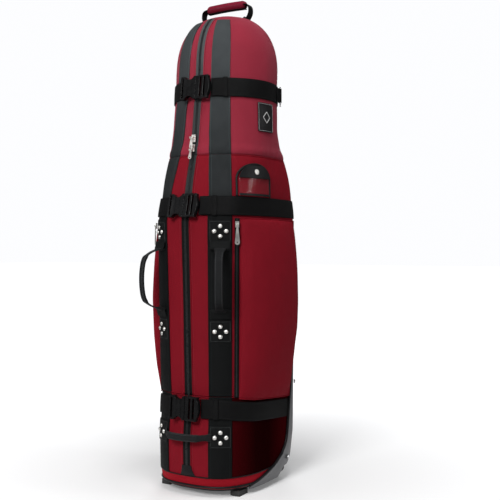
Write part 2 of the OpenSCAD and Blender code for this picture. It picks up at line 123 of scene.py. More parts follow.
def angle_at(x, v):
    """The angle from the front at which the form is x to the right, at height v."""
    v = np.asarray(v, float)
    part = np.clip((v - DOME_Z) / DOME_H, 0, 1)
    drawn_in = (1 - np.minimum(part, 0.99999) ** 2.5) ** 0.4
    return np.degrees(np.arctan(x / station(v, 2))) / drawn_in


def webbing_inner(v):
    return np.interp(v, [0.800, 0.950], [18.5, 15.0])


def drop(a):
    """How far the bottom strap and the pockets' feet slope down towards the back."""
    return np.interp(abs(np.asarray(a, float)), [28, 58, 122], [0, 14 * MM, 30 * MM])


def bell(x, width):
    return np.exp(-(x / width) ** 2)


def ripple(points, scale, seed):
    """Smooth noise, -1 to 1, at an array of points."""
    flat = points.reshape(-1, 3)
    out = [noise.noise(Vector((p[0] * scale[0] + seed, p[1] * scale[1], p[2] * scale[2])))
           for p in flat]
    return np.array(out).reshape(points.shape[:-1])


def slack(a, v):
    """How far the cloth stands off the form: drawn in by the straps and seams, full between them."""
    a, v = np.broadcast_arrays(np.asarray(a, float), np.asarray(v, float))
    off = np.zeros(a.shape)
    for z in STRAPS:
        off -= 2.6 * MM * bell(v - z, 34 * MM)
    off -= 2.4 * MM * bell(v - NECK, 4 * MM)
    off += 1.8 * MM * bell(v - NECK - 16 * MM, 9 * MM)
    p = form(a, v, 0)
    near_strap = sum(bell(v - z, 75 * MM) for z in STRAPS) + bell(v - NECK, 60 * MM)
    hood = np.clip((v - NECK) / 0.05, 0, 1)
    soft = 1.3 * MM * ripple(p, (9, 9, 4), 3.1) + 0.9 * MM * ripple(p, (22, 22, 9), 7.7)
    pleats = 1.3 * MM * near_strap * ripple(p, (60, 60, 12), 5.2)
    return off + soft + pleats * (1 - 0.5 * hood) - 0.6 * MM


# ---------------------------------------------------------------- mesh helpers
def new_object(name, verts, faces, material=None, uvs=None, smooth=True):
    mesh = bpy.data.meshes.new(name)
    mesh.from_pydata([tuple(map(float, p)) for p in verts], [], [tuple(f) for f in faces])
    mesh.update()
    if smooth:
        mesh.polygons.foreach_set("use_smooth", [True] * len(mesh.polygons))
    if uvs is not None:
        layer = mesh.uv_layers.new(name="UVMap")
        loops = np.array([loop.vertex_index for loop in mesh.loops])
        layer.data.foreach_set("uv", np.asarray(uvs, np.float32)[loops].ravel())
    obj = bpy.data.objects.new(name, mesh)
    bpy.context.scene.collection.objects.link(obj)
    if material is not None:
        mesh.materials.append(material)
    return obj


def arc_lengths(points, axis):
    """Running length along one axis of a grid of points."""
    step = np.linalg.norm(np.diff(points, axis=axis), axis=-1)
    start = np.zeros_like(np.take(step, [0], axis=axis))
    return np.concatenate([start, np.cumsum(step, axis=axis)], axis=axis)


def grid_faces(rows, cols, base=0, flip=False):
    faces = []
    for j in range(rows - 1):
        for i in range(cols - 1):
            k = base + j * cols + i
            f = (k, k + 1, k + cols + 1, k + cols)
            faces.append(f[::-1] if flip else f)
    return faces


def sheet(name, points, material, flip=False):
    """A smooth sheet through a grid of points, with a UV map in metres."""
    rows, cols = points.shape[:2]
    across, along = arc_lengths(points, 1), arc_lengths(points, 0)
    middle = along[:, cols // 2][:, None] * np.ones((1, cols))
    uvs = np.stack([across - across[:, [cols // 2]], middle], -1).reshape(-1, 2)
    return new_object(name, points.reshape(-1, 3), grid_faces(rows, cols, 0, flip), material, uvs)


def slab(name, low, high, material, flip=False):
    """A closed sheet between two grids of points of one size, with a UV map in metres."""
    rows, cols = low.shape[:2]
    count = rows * cols
    faces = grid_faces(rows, cols, count, flip) + grid_faces(rows, cols, 0, not flip)
    rim = list(range(cols))
    rim += [j * cols + cols - 1 for j in range(1, rows)]
    rim += [(rows - 1) * cols + i for i in range(cols - 2, -1, -1)]
    rim += [j * cols for j in range(rows - 2, 0, -1)]
    for p, q in zip(rim, rim[1:] + rim[:1]):
        f = (p, q, q + count, p + count)
        faces.append(f[::-1] if flip else f)
    across, along = arc_lengths(high, 1), arc_lengths(high, 0)
    middle = along[:, cols // 2][:, None] * np.ones((1, cols))
    uv = np.stack([across - across[:, [cols // 2]], middle], -1).reshape(-1, 2)
    verts = np.concatenate([low.reshape(-1, 3), high.reshape(-1, 3)])
    return new_object(name, verts, faces, material, np.concatenate([uv, uv]))


def tube(name, path, radius, material, sides=8, closed=False):
    """A round cord along a path of points."""
    path = np.asarray(path, float)
    count = len(path)
    if closed:
        ahead = np.roll(path, -1, 0) - np.roll(path, 1, 0)
    else:
        ahead = np.gradient(path, axis=0)
    ahead /= np.linalg.norm(ahead, axis=1)[:, None] + 1e-12
    up = np.array([0.31, 0.17, 0.94])
    radii = np.broadcast_to(np.asarray(radius, float), (count,))
    verts = []
    for p, t, r in zip(path, ahead, radii):
        up = up - t * (up @ t)
        up /= np.linalg.norm(up)
        side = np.cross(t, up)
        for k in range(sides):
            turn = 2 * math.pi * k / sides
            verts.append(p + r * (math.cos(turn) * up + math.sin(turn) * side))
    faces = []
    for j in range(count if closed else count - 1):
        for k in range(sides):
            m, n = (j + 1) % count, (k + 1) % sides
            faces.append((j * sides + k, j * sides + n, m * sides + n, m * sides + k))
    if not closed:
        faces.append(tuple(range(sides - 1, -1, -1)))
        faces.append(tuple((count - 1) * sides + k for k in range(sides)))
    length = run_lengths(path)
    uvs = [(2 * math.pi * r * k / sides, s) for s, r in zip(length, radii) for k in range(sides)]
    return new_object(name, verts, faces, material, uvs)


def modifier(obj, kind, **settings):
    m = obj.modifiers.new(kind.lower(), kind)
    for key, value in settings.items():
        setattr(m, key, value)
    return m


def soften(obj, width, segments=2, angle=50):
    """Rounds a piece's edges sharper than angle, over width millimetres."""
    modifier(obj, "BEVEL", width=width * MM, segments=segments, angle_limit=math.radians(angle))


def attach(body, slot, *pieces):
    """Fixes pieces to a body; the slot argument is not used."""
    for piece in pieces:
        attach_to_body(piece, body)


def line_cloth(piece):
    """Gives a sheet of cloth its thickness and its lining."""
    piece.data.materials.append(M["lining"])
    modifier(piece, "SOLIDIFY", thickness=5 * MM, offset=-1, material_offset=1,
             material_offset_rim=0)


def run_lengths(path):
    """The distance run along a path, at each of its points."""
    steps = np.linalg.norm(np.diff(path, axis=0), axis=1)
    return np.concatenate([[0], np.cumsum(steps)])


def on_form(a, v, off, lean=True):
    """A frame on the case: x to the right, y inward and z up along the cloth, as a matrix."""
    here = form(a, v, off)
    up = form(a, v + 0.01, off) - form(a, v - 0.01, off) if lean else np.array([0, 0, 1.0])
    side = form(a + 1, v, off) - form(a - 1, v, off)
    z = Vector(up).normalized()
    x = Vector(side)
    x = (x - z * x.dot(z)).normalized()
    y = z.cross(x)
    m = Matrix((x, y, z)).transposed().to_4x4()
    m.translation = Vector(here)
    return m


# ---------------------------------------------------------------- materials
def shader(name):
    """A new node material: its node tree, and the principled shader in it."""
    material = bpy.data.materials.new(name)
    material.use_nodes = True
    tree = material.node_tree
    return material, tree, tree.nodes["Principled BSDF"]


def node(tree, kind, inputs=None, **settings):
    n = tree.nodes.new(kind)
    for key, value in settings.items():
        setattr(n, key, value)
    for key, value in (inputs or {}).items():
        socket = n.inputs[key]
        if isinstance(value, bpy.types.NodeSocket):
            tree.links.new(value, socket)
        else:
            socket.default_value = value
    return n


def maths(tree, operation, a, b=0.0):
    return node(tree, "ShaderNodeMath", {0: a, 1: b}, operation=operation).outputs[0]


def mix_colour(tree, factor, a, b):
    n = node(tree, "ShaderNodeMix", data_type="RGBA")
    for index, value in ((0, factor), (6, a), (7, b)):
        if isinstance(value, bpy.types.NodeSocket):
            tree.links.new(value, n.inputs[index])
        else:
            n.inputs[index].default_value = value
    return n.outputs[2]


def rgba(colour, gain=1.0):
    return tuple(min(1.0, c * gain) for c in colour) + (1.0,)


def coordinates(tree, kind="UV"):
    return node(tree, "ShaderNodeTexCoord").outputs[kind]


def noise_value(tree, where, scale, detail=4.0, rough=0.55):
    return node(tree, "ShaderNodeTexNoise", {
        "Vector": where, "Scale": scale, "Detail": detail, "Roughness": rough}).outputs["Fac"]


def bump(tree, height, strength, distance, before=None):
    inputs = {"Height": height, "Strength": strength, "Distance": distance}
    if before is not None:
        inputs["Normal"] = before
    return node(tree, "ShaderNodeBump", inputs).outputs["Normal"]


def edge_wear(tree):
    """1 along sharp outer edges, 0 on flat faces."""
    point = node(tree, "ShaderNodeNewGeometry").outputs["Pointiness"]
    return node(tree, "ShaderNodeMapRange", {
        0: point, 1: 0.52, 2: 0.60, 3: 0.0, 4: 1.0}).outputs[0]


def weave_height(tree, where, pitch):
    """A plain weave of threads pitch metres apart, from a UV map in metres."""
    split = node(tree, "ShaderNodeSeparateXYZ", {0: where})
    turns = 2 * math.pi / pitch
    warp = maths(tree, "SINE", maths(tree, "MULTIPLY", split.outputs[0], turns))
    weft = maths(tree, "SINE", maths(tree, "MULTIPLY", split.outputs[1], turns))
    return maths(tree, "MULTIPLY", warp, weft)


def cloth_material(name, colour, pitch, gain=1.0, sheen=0.35, rough=0.62, bloom=None,
                   shine=0.04):
    """Woven nylon: threads, mottled dye, pale flecks, soft creases, and painted shade that follows the
    weave.
    """
    material, tree, bsdf = shader(name)
    uv, place = coordinates(tree), coordinates(tree, "Object")
    weave = weave_height(tree, uv, pitch)
    fleck = noise_value(tree, uv, 900.0, 2.0)
    blotch = noise_value(tree, place, 9.0, 5.0)
    crease = noise_value(tree, place, 38.0, 6.0, 0.62)
    tone = mix_colour(tree, blotch, rgba(colour, 0.80), rgba(colour, 1.22))
    tone = mix_colour(tree, maths(tree, "MULTIPLY", fleck, 0.35), tone, rgba(colour, 1.7))
    # Painted shade: the colour darkens with the weave's relief, thread shading painted into the colour.
    thread = node(tree, "ShaderNodeMapRange", {0: weave, 1: -1.0, 2: 1.0, 3: 0.0, 4: 0.22})
    tone = mix_colour(tree, thread.outputs[0], tone, rgba(colour, 0.45))
    tree.links.new(tone, bsdf.inputs["Base Color"])
    normal = bump(tree, crease, 0.35 * gain, 4 * MM)
    normal = bump(tree, weave, 0.5, 0.35 * MM, normal)
    tree.links.new(normal, bsdf.inputs["Normal"])
    roughness = node(tree, "ShaderNodeMapRange", {
        0: blotch, 1: 0.3, 2: 0.7, 3: rough - 0.08, 4: rough + 0.10})
    tree.links.new(roughness.outputs[0], bsdf.inputs["Roughness"])
    bsdf.inputs["Sheen Weight"].default_value = sheen
    bsdf.inputs["Sheen Roughness"].default_value = 0.45
    bsdf.inputs["Sheen Tint"].default_value = bloom or rgba(colour, 3.0)
    bsdf.inputs["Specular IOR Level"].default_value = shine
    return material


def side_material(name, colour, painted_glow_red):
    """Dark nylon with a painted glow of light: redder towards the front webbing and the moulded plate,
    where light catches the curving sides.
    """
    material = cloth_material(name, colour, 1.3 * MM, 0.8, 0.02, shine=0.0)
    tree = material.node_tree
    base = tree.nodes["Principled BSDF"].inputs["Base Color"]
    dark = base.links[0].from_socket
    # Painted light: a redder glow blended in by depth, towards the back plate and towards the front
    # webbing.
    depth = node(tree, "ShaderNodeSeparateXYZ", {0: coordinates(tree, "Object")}).outputs[1]
    back = node(tree, "ShaderNodeMapRange", {0: depth, 1: -0.02, 2: 0.14, 3: 0.0, 4: 0.45})
    front = node(tree, "ShaderNodeMapRange", {0: depth, 1: -0.15, 2: -0.08, 3: 0.25, 4: 0.0})
    painted_glow_share = maths(tree, "ADD", back.outputs[0], front.outputs[0])
    tree.links.new(mix_colour(tree, painted_glow_share, dark, rgba(painted_glow_red, 1.0)), base)
    return material


def webbing_material(name, colour, width, painted_sheen_up=False):
    """Ribbed nylon webbing with a selvedge and a row of stitches along each edge; when asked, the webbing
    is painted lighter towards the hood, a painted sheen of light on its upper run."""
    material, tree, bsdf = shader(name)
    uv = coordinates(tree)
    split = node(tree, "ShaderNodeSeparateXYZ", {0: uv})
    across, along = split.outputs[0], split.outputs[1]
    rib = maths(tree, "SINE", maths(tree, "MULTIPLY", across, 2 * math.pi / (2.6 * MM)))
    bar = maths(tree, "SINE", maths(tree, "MULTIPLY", along, 2 * math.pi / (1.9 * MM)))
    weave = maths(tree, "MULTIPLY", rib, bar)
    edge = maths(tree, "SUBTRACT", maths(tree, "ABSOLUTE", across), width / 2 - 4 * MM)
    on_line = maths(tree, "LESS_THAN", maths(tree, "ABSOLUTE", edge), 0.55 * MM)
    dash = maths(tree, "LESS_THAN", maths(tree, "FRACT", maths(tree, "DIVIDE", along, 5 * MM)), 0.66)
    stitch = maths(tree, "MULTIPLY", on_line, dash)
    blotch = noise_value(tree, coordinates(tree, "Object"), 30.0, 5.0)
    tone = mix_colour(tree, blotch, rgba(colour, 0.7), rgba(colour, 1.5))
    tone = mix_colour(tree, maths(tree, "MULTIPLY", maths(tree, "ADD", weave, 1.0), 0.2),
                      tone, rgba(colour, 2.4))
    tone = mix_colour(tree, maths(tree, "MULTIPLY", stitch, 0.7), tone, rgba(colour, 4.5))
    if painted_sheen_up:
        # Painted sheen: the colour is scaled up with height, from the waist and more over the crown,
        # standing in for light on the upper webbing.
        height = node(tree, "ShaderNodeSeparateXYZ", {0: coordinates(tree, "Object")}).outputs[2]
        waist = node(tree, "ShaderNodeMapRange", {0: height, 1: 0.73, 2: 0.80, 3: 1.0, 4: 4.6})
        crown = node(tree, "ShaderNodeMapRange", {0: height, 1: 0.88, 2: 1.14, 3: 0.0, 4: 6.4})
        painted_sheen = node(tree, "ShaderNodeVectorMath", {0: tone})
        painted_sheen.operation = "SCALE"
        tree.links.new(maths(tree, "ADD", waist.outputs[0], crown.outputs[0]), painted_sheen.inputs["Scale"])
        tone = painted_sheen.outputs[0]
    tree.links.new(tone, bsdf.inputs["Base Color"])
    normal = bump(tree, weave, 0.6, 0.4 * MM)
    normal = bump(tree, stitch, 0.8, 0.6 * MM, normal)
    tree.links.new(normal, bsdf.inputs["Normal"])
    bsdf.inputs["Roughness"].default_value = 0.5
    bsdf.inputs["Specular IOR Level"].default_value = 0.07
    return material


def plastic_material(name, colour, rough=0.42, grain=700.0, depth=0.12, wear=2.2, shine=0.5):
    """Moulded plastic: fine grain, scuffs that catch the light, rubbed edges."""
    material, tree, bsdf = shader(name)
    place = coordinates(tree, "Object")
    fine = noise_value(tree, place, grain, 2.0)
    scuff = noise_value(tree, place, 24.0, 8.0, 0.7)
    tone = mix_colour(tree, scuff, rgba(colour, 0.75), rgba(colour, 1.3))
    tone = mix_colour(tree, maths(tree, "MULTIPLY", edge_wear(tree), 0.5), tone, rgba(colour, wear))
    tree.links.new(tone, bsdf.inputs["Base Color"])
    roughness = node(tree, "ShaderNodeMapRange", {0: scuff, 1: 0.3, 2: 0.75, 3: rough - 0.08,
                                                  4: rough + 0.16})
    tree.links.new(roughness.outputs[0], bsdf.inputs["Roughness"])
    tree.links.new(bump(tree, fine, depth, 0.4 * MM), bsdf.inputs["Normal"])
    bsdf.inputs["Specular IOR Level"].default_value = shine
    return material


def metal_material(name, colour, rough=0.22, stretch=(400.0, 400.0, 12.0)):
    """Plated or brushed metal with fine drawn lines and smudges."""
    material, tree, bsdf = shader(name)
    place = coordinates(tree, "Object")
    drawn = node(tree, "ShaderNodeMapping", {"Vector": place, "Scale": stretch}).outputs[0]
    lines = noise_value(tree, drawn, 1.0, 3.0)
    smudge = noise_value(tree, place, 60.0, 6.0)
    tone = mix_colour(tree, smudge, rgba(colour, 0.82), rgba(colour, 1.08))
    tree.links.new(tone, bsdf.inputs["Base Color"])
    bsdf.inputs["Metallic"].default_value = 1.0
    roughness = node(tree, "ShaderNodeMapRange", {0: smudge, 1: 0.3, 2: 0.7, 3: rough - 0.06,
                                                  4: rough + 0.16})
    tree.links.new(roughness.outputs[0], bsdf.inputs["Roughness"])
    tree.links.new(bump(tree, lines, 0.10, 0.2 * MM), bsdf.inputs["Normal"])
    return material


def leather_material(name, colour, rough=0.45):
    """Leatherette: pebbled grain and blotchy tone."""
    material, tree, bsdf = shader(name)
    place = coordinates(tree, "Object")
    cells = node(tree, "ShaderNodeTexVoronoi", {"Vector": place, "Scale": 520.0})
    blotch = noise_value(tree, place, 40.0, 5.0)
    tone = mix_colour(tree, blotch, rgba(colour, 0.7), rgba(colour, 1.6))
    tree.links.new(tone, bsdf.inputs["Base Color"])
    tree.links.new(bump(tree, cells.outputs["Distance"], 0.5, 0.4 * MM), bsdf.inputs["Normal"])
    bsdf.inputs["Roughness"].default_value = rough
    bsdf.inputs["Specular IOR Level"].default_value = 0.16
    return material


def vinyl_material(name):
    """Clear vinyl, a little wavy."""
    material, tree, bsdf = shader(name)
    wavy = noise_value(tree, coordinates(tree, "Object"), 45.0, 2.0)
    bsdf.inputs["Base Color"].default_value = (0.30, 0.05, 0.06, 1)
    creased = node(tree, "ShaderNodeMapRange", {0: wavy, 1: 0.62, 2: 0.70, 3: 0.10, 4: 0.34})
    tree.links.new(creased.outputs[0], bsdf.inputs["Alpha"])
    bsdf.inputs["Roughness"].default_value = 0.06
    tree.links.new(bump(tree, wavy, 0.7, 3 * MM), bsdf.inputs["Normal"])
    return material


RED = (0.182, 0.0064, 0.0135)
HOOD_RED = (0.250, 0.021, 0.038)
M = {
    "red": cloth_material("red_nylon", RED, 1.3 * MM),
    "hood": cloth_material("hood_nylon", HOOD_RED, 1.3 * MM, 0.7, 0.30, 0.52, (0.80, 0.28, 0.36, 1)),
    "gusset": cloth_material("gusset_nylon", (0.255, 0.0070, 0.0140), 1.3 * MM, 0.6),
    "red_thread": plastic_material("red_thread", (0.20, 0.010, 0.020), 0.6),
    "pale_thread": plastic_material("pale_thread", (0.40, 0.40, 0.40), 0.6),
    "black_thread": plastic_material("black_thread", (0.030, 0.033, 0.034), 0.6),
    "dark_side": side_material("dark_side_nylon", (0.0105, 0.0008, 0.0010), (0.12, 0.004, 0.008)),
    "lining": cloth_material("lining_nylon", (0.020, 0.020, 0.022), 1.1 * MM),
    "wide_webbing": webbing_material("wide_webbing", (0.0032, 0.0036, 0.0038), 58 * MM, True),
    "strap": webbing_material("strap_webbing", (0.0034, 0.0034, 0.0036), 50 * MM),
    "webbing_patch": webbing_material("patch_webbing", (0.0048, 0.0052, 0.0054), 60 * MM),
    "handle": webbing_material("handle_webbing", (0.0100, 0.0104, 0.0110), 26 * MM),
    "tape": webbing_material("zip_tape", (0.0044, 0.0048, 0.0050), 24 * MM, True),
    "teeth": plastic_material("zip_teeth", (0.022, 0.024, 0.025), 0.30, shine=0.25),
    "buckle": plastic_material("buckle_acetal", (0.0042, 0.0042, 0.0046), 0.24, shine=0.22),
    "plate": plastic_material("skid_plastic", (0.085, 0.086, 0.092), 0.30, 420.0, 0.10, 1.6),
    "pan": plastic_material("pan_plastic", (0.010, 0.010, 0.011), 0.5),
    "rubber": plastic_material("foot_rubber", (0.016, 0.016, 0.016), 0.72),
    "tyre": plastic_material("tyre_urethane", (0.035, 0.035, 0.037), 0.40),
    "core": plastic_material("core_nylon", (0.22, 0.22, 0.23), 0.40),
    "zinc": metal_material("plated_zinc", (0.88, 0.87, 0.83), 0.34),
    "steel": metal_material("bright_steel", (0.66, 0.66, 0.67), 0.20),
    "tube": metal_material("drawn_aluminium", (0.80, 0.81, 0.82), 0.24),
    "red_plastic": plastic_material("red_moulding", (0.55, 0.012, 0.012), 0.28),
    "leather": leather_material("black_leatherette", (0.0058, 0.0058, 0.0064)),
    "piping": leather_material("black_piping", (0.0058, 0.0058, 0.0064), 0.35),
    "wrap": cloth_material("handle_wrap", (0.15, 0.010, 0.024), 1.3 * MM, 0.6, 0.5),
    "vinyl": vinyl_material("clear_vinyl"),
}


# ---------------------------------------------------------------- cloth across the fold lines
def fold(obj, hood=False):
    """Bakes a piece's transform into its mesh, on the body and on the hood alike."""
    if hood:
        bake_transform(obj)
        return
    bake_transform(obj)


def cloth_grid(a0, a1, v0, v1, off=0.0, a_step=1.5, v_step=4.5 * MM):
    """A grid of points on the cloth. a0 and a1 may be functions of height."""
    rows = max(2, int(round((v1 - v0) / v_step)) + 1)
    v = np.linspace(v0, v1, rows)
    lo = a0(v) if callable(a0) else np.full(rows, float(a0))
    hi = a1(v) if callable(a1) else np.full(rows, float(a1))
    cols = max(2, int(round(np.max(np.abs(hi - lo)) / a_step)) + 1)
    t = np.linspace(0, 1, cols)[None, :]
    a = lo[:, None] * (1 - t) + hi[:, None] * t
    vv = np.broadcast_to(v[:, None], a.shape)
    return form(a, vv, slack(a, vv) + off)


def skin_grid(side, v0, v1):
    """Half the case's cloth, from the zip to the middle of the back, fine where it folds.
    On the hood it is drawn together over the crown."""
    rows = max(2, int(round((v1 - v0) / (4.5 * MM))) + 1)
    v = np.linspace(v0, v1, rows)[:, None]
    edge = np.where(v < ZIP_HEAD, angle_at(4 * MM, np.minimum(v, ZIP_HEAD)), 0.0)
    turn = np.concatenate([np.linspace(0, 33, 23)[:-1], np.linspace(33, 43, 19)[:-1],
                           np.linspace(43, 180, 83)])[None, :]
    a = side * (edge + turn * (180 - edge) / 180)
    vv = np.broadcast_to(v, a.shape)
    points = form(a, vv, slack(a, vv))
    if v1 > DOME_Z:
        middle = (points[-1, 0] + points[-1, -1]) / 2
        rings = [middle + (points[-1] - middle) * part for part in (0.6, 0.3, 0.01)]
        points = np.concatenate([points, rings])
    return points


def case_skin(side):
    """One half of the case's cloth, from the zip round to the middle of the back."""
    word = SIDES[side]
    crown = DOME_Z + DOME_H * 0.9995
    body = sheet(f"cloth_body_{word}", skin_grid(side, FLAP_FOOT, NECK), M["red"], side < 0)
    top = sheet(f"cloth_hood_{word}", skin_grid(side, NECK, crown), M["hood"], side < 0)
    for piece in (body, top):
        line_cloth(piece)
        fold(piece, piece is top)
    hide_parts(f"{word}_flap_panel", "body_shell")
    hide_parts("hood_shell", "hood_crown")


def wing_reach(v):
    """Angle at which the cloth ends behind the moulded plate, clear of the wheels."""
    return np.interp(v, [0.020, 0.036, 0.054, 0.076, 0.085, 0.100], [58, 77, 98, 114, 122, 180])


def lower_skin():
    """The cloth below the front panels: red in front and round the foot, dark at the sides."""
    behind = lambda v: -wing_reach(v)
    parts = (("cloth_foot", behind, wing_reach, SKIRT_Z, GUSSET_Z, "gusset"),
             ("cloth_front", -37, 37, GUSSET_Z, FLAP_FOOT - 1.5 * MM, "red"),
             ("cloth_side_right", 37, wing_reach, GUSSET_Z, FLAP_FOOT - 1.5 * MM, "dark_side"),
             ("cloth_side_left", behind, -37, GUSSET_Z, FLAP_FOOT - 1.5 * MM, "dark_side"))
    for name, a0, a1, v0, v1, look in parts:
        piece = sheet(name, cloth_grid(a0, a1, v0, v1), M[look])
        line_cloth(piece)
        attach("case", "red_cloth", piece)
        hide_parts("base_gusset" if name == "cloth_foot" else "front_lower_panel")


for half in (1, -1):
    case_skin(half)
lower_skin()


def wide_webbing(side):
    """The wide webbing up one side of the front, and its run below the panels."""
    word = SIDES[side]
    inner = lambda v: side * webbing_inner(v)
    outer = lambda v: np.full(np.shape(v), side * (FOLD - 1))
    runs = (("webbing_body", FLAP_FOOT, NECK, "wide_webbing"),
            ("webbing_hood", NECK, 1.262, "wide_webbing"),
            ("webbing_low", ZIP_FOOT - 4 * MM, FLAP_FOOT - 1.5 * MM, "wide_webbing"))
    for name, v0, v1, material in runs:
        low = cloth_grid(inner, outer, v0, v1, 0.3 * MM, 1.8)
        high = cloth_grid(inner, outer, v0, v1, 2.6 * MM, 1.8)
        piece = slab(f"{name}_{word}", low, high, M[material], flip=side < 0)
        soften(piece, 0.9)
        if name == "webbing_low":
            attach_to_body(piece, "case")
            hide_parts("lower_webbings")
        else:
            fold(piece, name == "webbing_hood")
            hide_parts(f"{word}_webbing")


for half in (1, -1):
    wide_webbing(half)


# ---------------------------------------------------------------- straps
def strap_offset(a):
    """How far a strap's inner face stands off the form: over the webbing, then on the cloth."""
    a = abs(np.asarray(a, float))
    front = np.interp(a, [36, 41, 48], [3.2, 2.6, 0.9])
    return front * MM


def strap_grid(a0, a1, z, off, height=STRAP_H, step=1.5):
    """A grid of points on a strap: rows run along it, columns across it."""
    rows = max(2, int(round(abs(a1 - a0) / step)) + 1)
    a = np.linspace(a0, a1, rows)[:, None]
    v = np.linspace(z - height / 2, z + height / 2, 13)[None, :]
    lift = strap_offset(a) + off
    cross = 0.5 * MM * np.cos(np.linspace(-1, 1, 13) * math.pi / 2)[None, :]
    slope = drop(a) if z == LOW_STRAP else 0 * a
    return form(a * np.ones_like(v), v - slope, lift + cross - 1.6 * MM)


def strap(z, side):
    """Half of one compression strap, from its buckle round to the middle of the back; the bottom
    one ends at the moulded plate."""
    word = SIDES[side]
    level = LEVELS[z]
    front = side * float(angle_at(40 * MM, z))
    end = side * (120.5 if z == LOW_STRAP else 180)
    low, high = (strap_grid(front, end, z, off) for off in (0.0, 2.2 * MM))
    piece = slab(f"strap_{level}_{word}", low, high, M["strap"], flip=side > 0)
    soften(piece, 0.8)
    if z == LOW_STRAP:
        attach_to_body(piece, "case")
    else:
        fold(piece, z == TOP_STRAP)
    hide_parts("compression_straps", f"{word}_strap_ends")


for level_z in STRAPS:
    for half in (1, -1):
        strap(level_z, half)


# ---------------------------------------------------------------- cords, ribbons and stitches
def ribbon(name, path, wide, width, thick, material, lean=2.6):
    """A flat band along a path. wide is the way its width runs; width and thick may vary."""
    path = np.asarray(path, float)
    count = len(path)
    ahead = np.gradient(path, axis=0)
    ahead /= np.linalg.norm(ahead, axis=1)[:, None]
    wide = np.broadcast_to(np.asarray(wide, float), path.shape)
    side = wide - ahead * np.sum(wide * ahead, 1)[:, None]
    side /= np.linalg.norm(side, axis=1)[:, None]
    face = np.cross(ahead, side)
    turn = np.radians(np.arange(0, 360, 22.5))
    c, s = np.cos(turn), np.sin(turn)
    around = (abs(c) ** lean + abs(s) ** lean) ** (-1 / lean)
    half_w = np.broadcast_to(np.asarray(width, float), (count,)) / 2
    half_t = np.broadcast_to(np.asarray(thick, float), (count,)) / 2
    sides = len(turn)
    ring = (path[:, None] + side[:, None] * (half_w[:, None] * (around * c))[..., None]
            + face[:, None] * (half_t[:, None] * (around * s))[..., None])
    length = run_lengths(path)
    uvs = np.stack([half_w[:, None] * (around * c), length[:, None] * np.ones(sides)], -1)
    faces = [(j * sides + k, j * sides + (k + 1) % sides, (j + 1) * sides + (k + 1) % sides,
              (j + 1) * sides + k) for j in range(count - 1) for k in range(sides)]
    faces.append(tuple(range(sides - 1, -1, -1)))
    faces.append(tuple((count - 1) * sides + k for k in range(sides)))
    return new_object(name, ring.reshape(-1, 3), faces, material, uvs.reshape(-1, 2))


def smooth_path(points, count=60):
    """A Catmull-Rom curve through points, at even spacing."""
    p = np.asarray(points, float)
    p = np.concatenate([[2 * p[0] - p[1]], p, [2 * p[-1] - p[-2]]])
    out = []
    for i in range(1, len(p) - 2):
        for t in np.linspace(0, 1, 24, endpoint=False):
            a, b, c, d = p[i - 1], p[i], p[i + 1], p[i + 2]
            out.append(0.5 * (2 * b + (c - a) * t + (2 * a - 5 * b + 4 * c - d) * t ** 2
                              + (3 * b - a - 3 * c + d) * t ** 3))
    out.append(p[-2])
    out = np.array(out)
    run = run_lengths(out)
    even = np.linspace(0, run[-1], count)
    return np.stack([np.interp(even, run, out[:, k]) for k in range(3)], -1)


def stitches(name, path, material, pitch=4.2 * MM, thread=0.42 * MM):
    """A run of thread stitches along a path that lies on a surface."""
    path = np.asarray(path, float)
    run = run_lengths(path)
    at = lambda s: np.stack([np.interp(s, run, path[:, k]) for k in range(3)], -1)
    verts, faces = [], []
    for start in np.arange(0.3 * pitch, run[-1] - pitch, pitch):
        a, b = at(start), at(start + 0.68 * pitch)
        way = b - a
        way /= np.linalg.norm(way) + 1e-12
        up = np.array([0.3, 0.2, 0.93])
        up = up - way * (up @ way)
        up /= np.linalg.norm(up)
        out = np.cross(way, up)
        base = len(verts)
        for t, r in ((0.0, 0.35), (0.2, 1.0), (0.8, 1.0), (1.0, 0.35)):
            for k in range(5):
                turn = 2 * math.pi * k / 5
                verts.append(a + (b - a) * t
                             + thread * r * (math.cos(turn) * up + math.sin(turn) * out))
        for j in range(3):
            for k in range(5):
                m = base + j * 5
                faces.append((m + k, m + (k + 1) % 5, m + 5 + (k + 1) % 5, m + 5 + k))
    return new_object(name, verts, faces, material)


def along(a, v, off):
    """Points on the cloth, with its slack."""
    a, v = np.broadcast_arrays(np.asarray(a, float), np.asarray(v, float))
    return form(a, v, slack(a, v) + off)


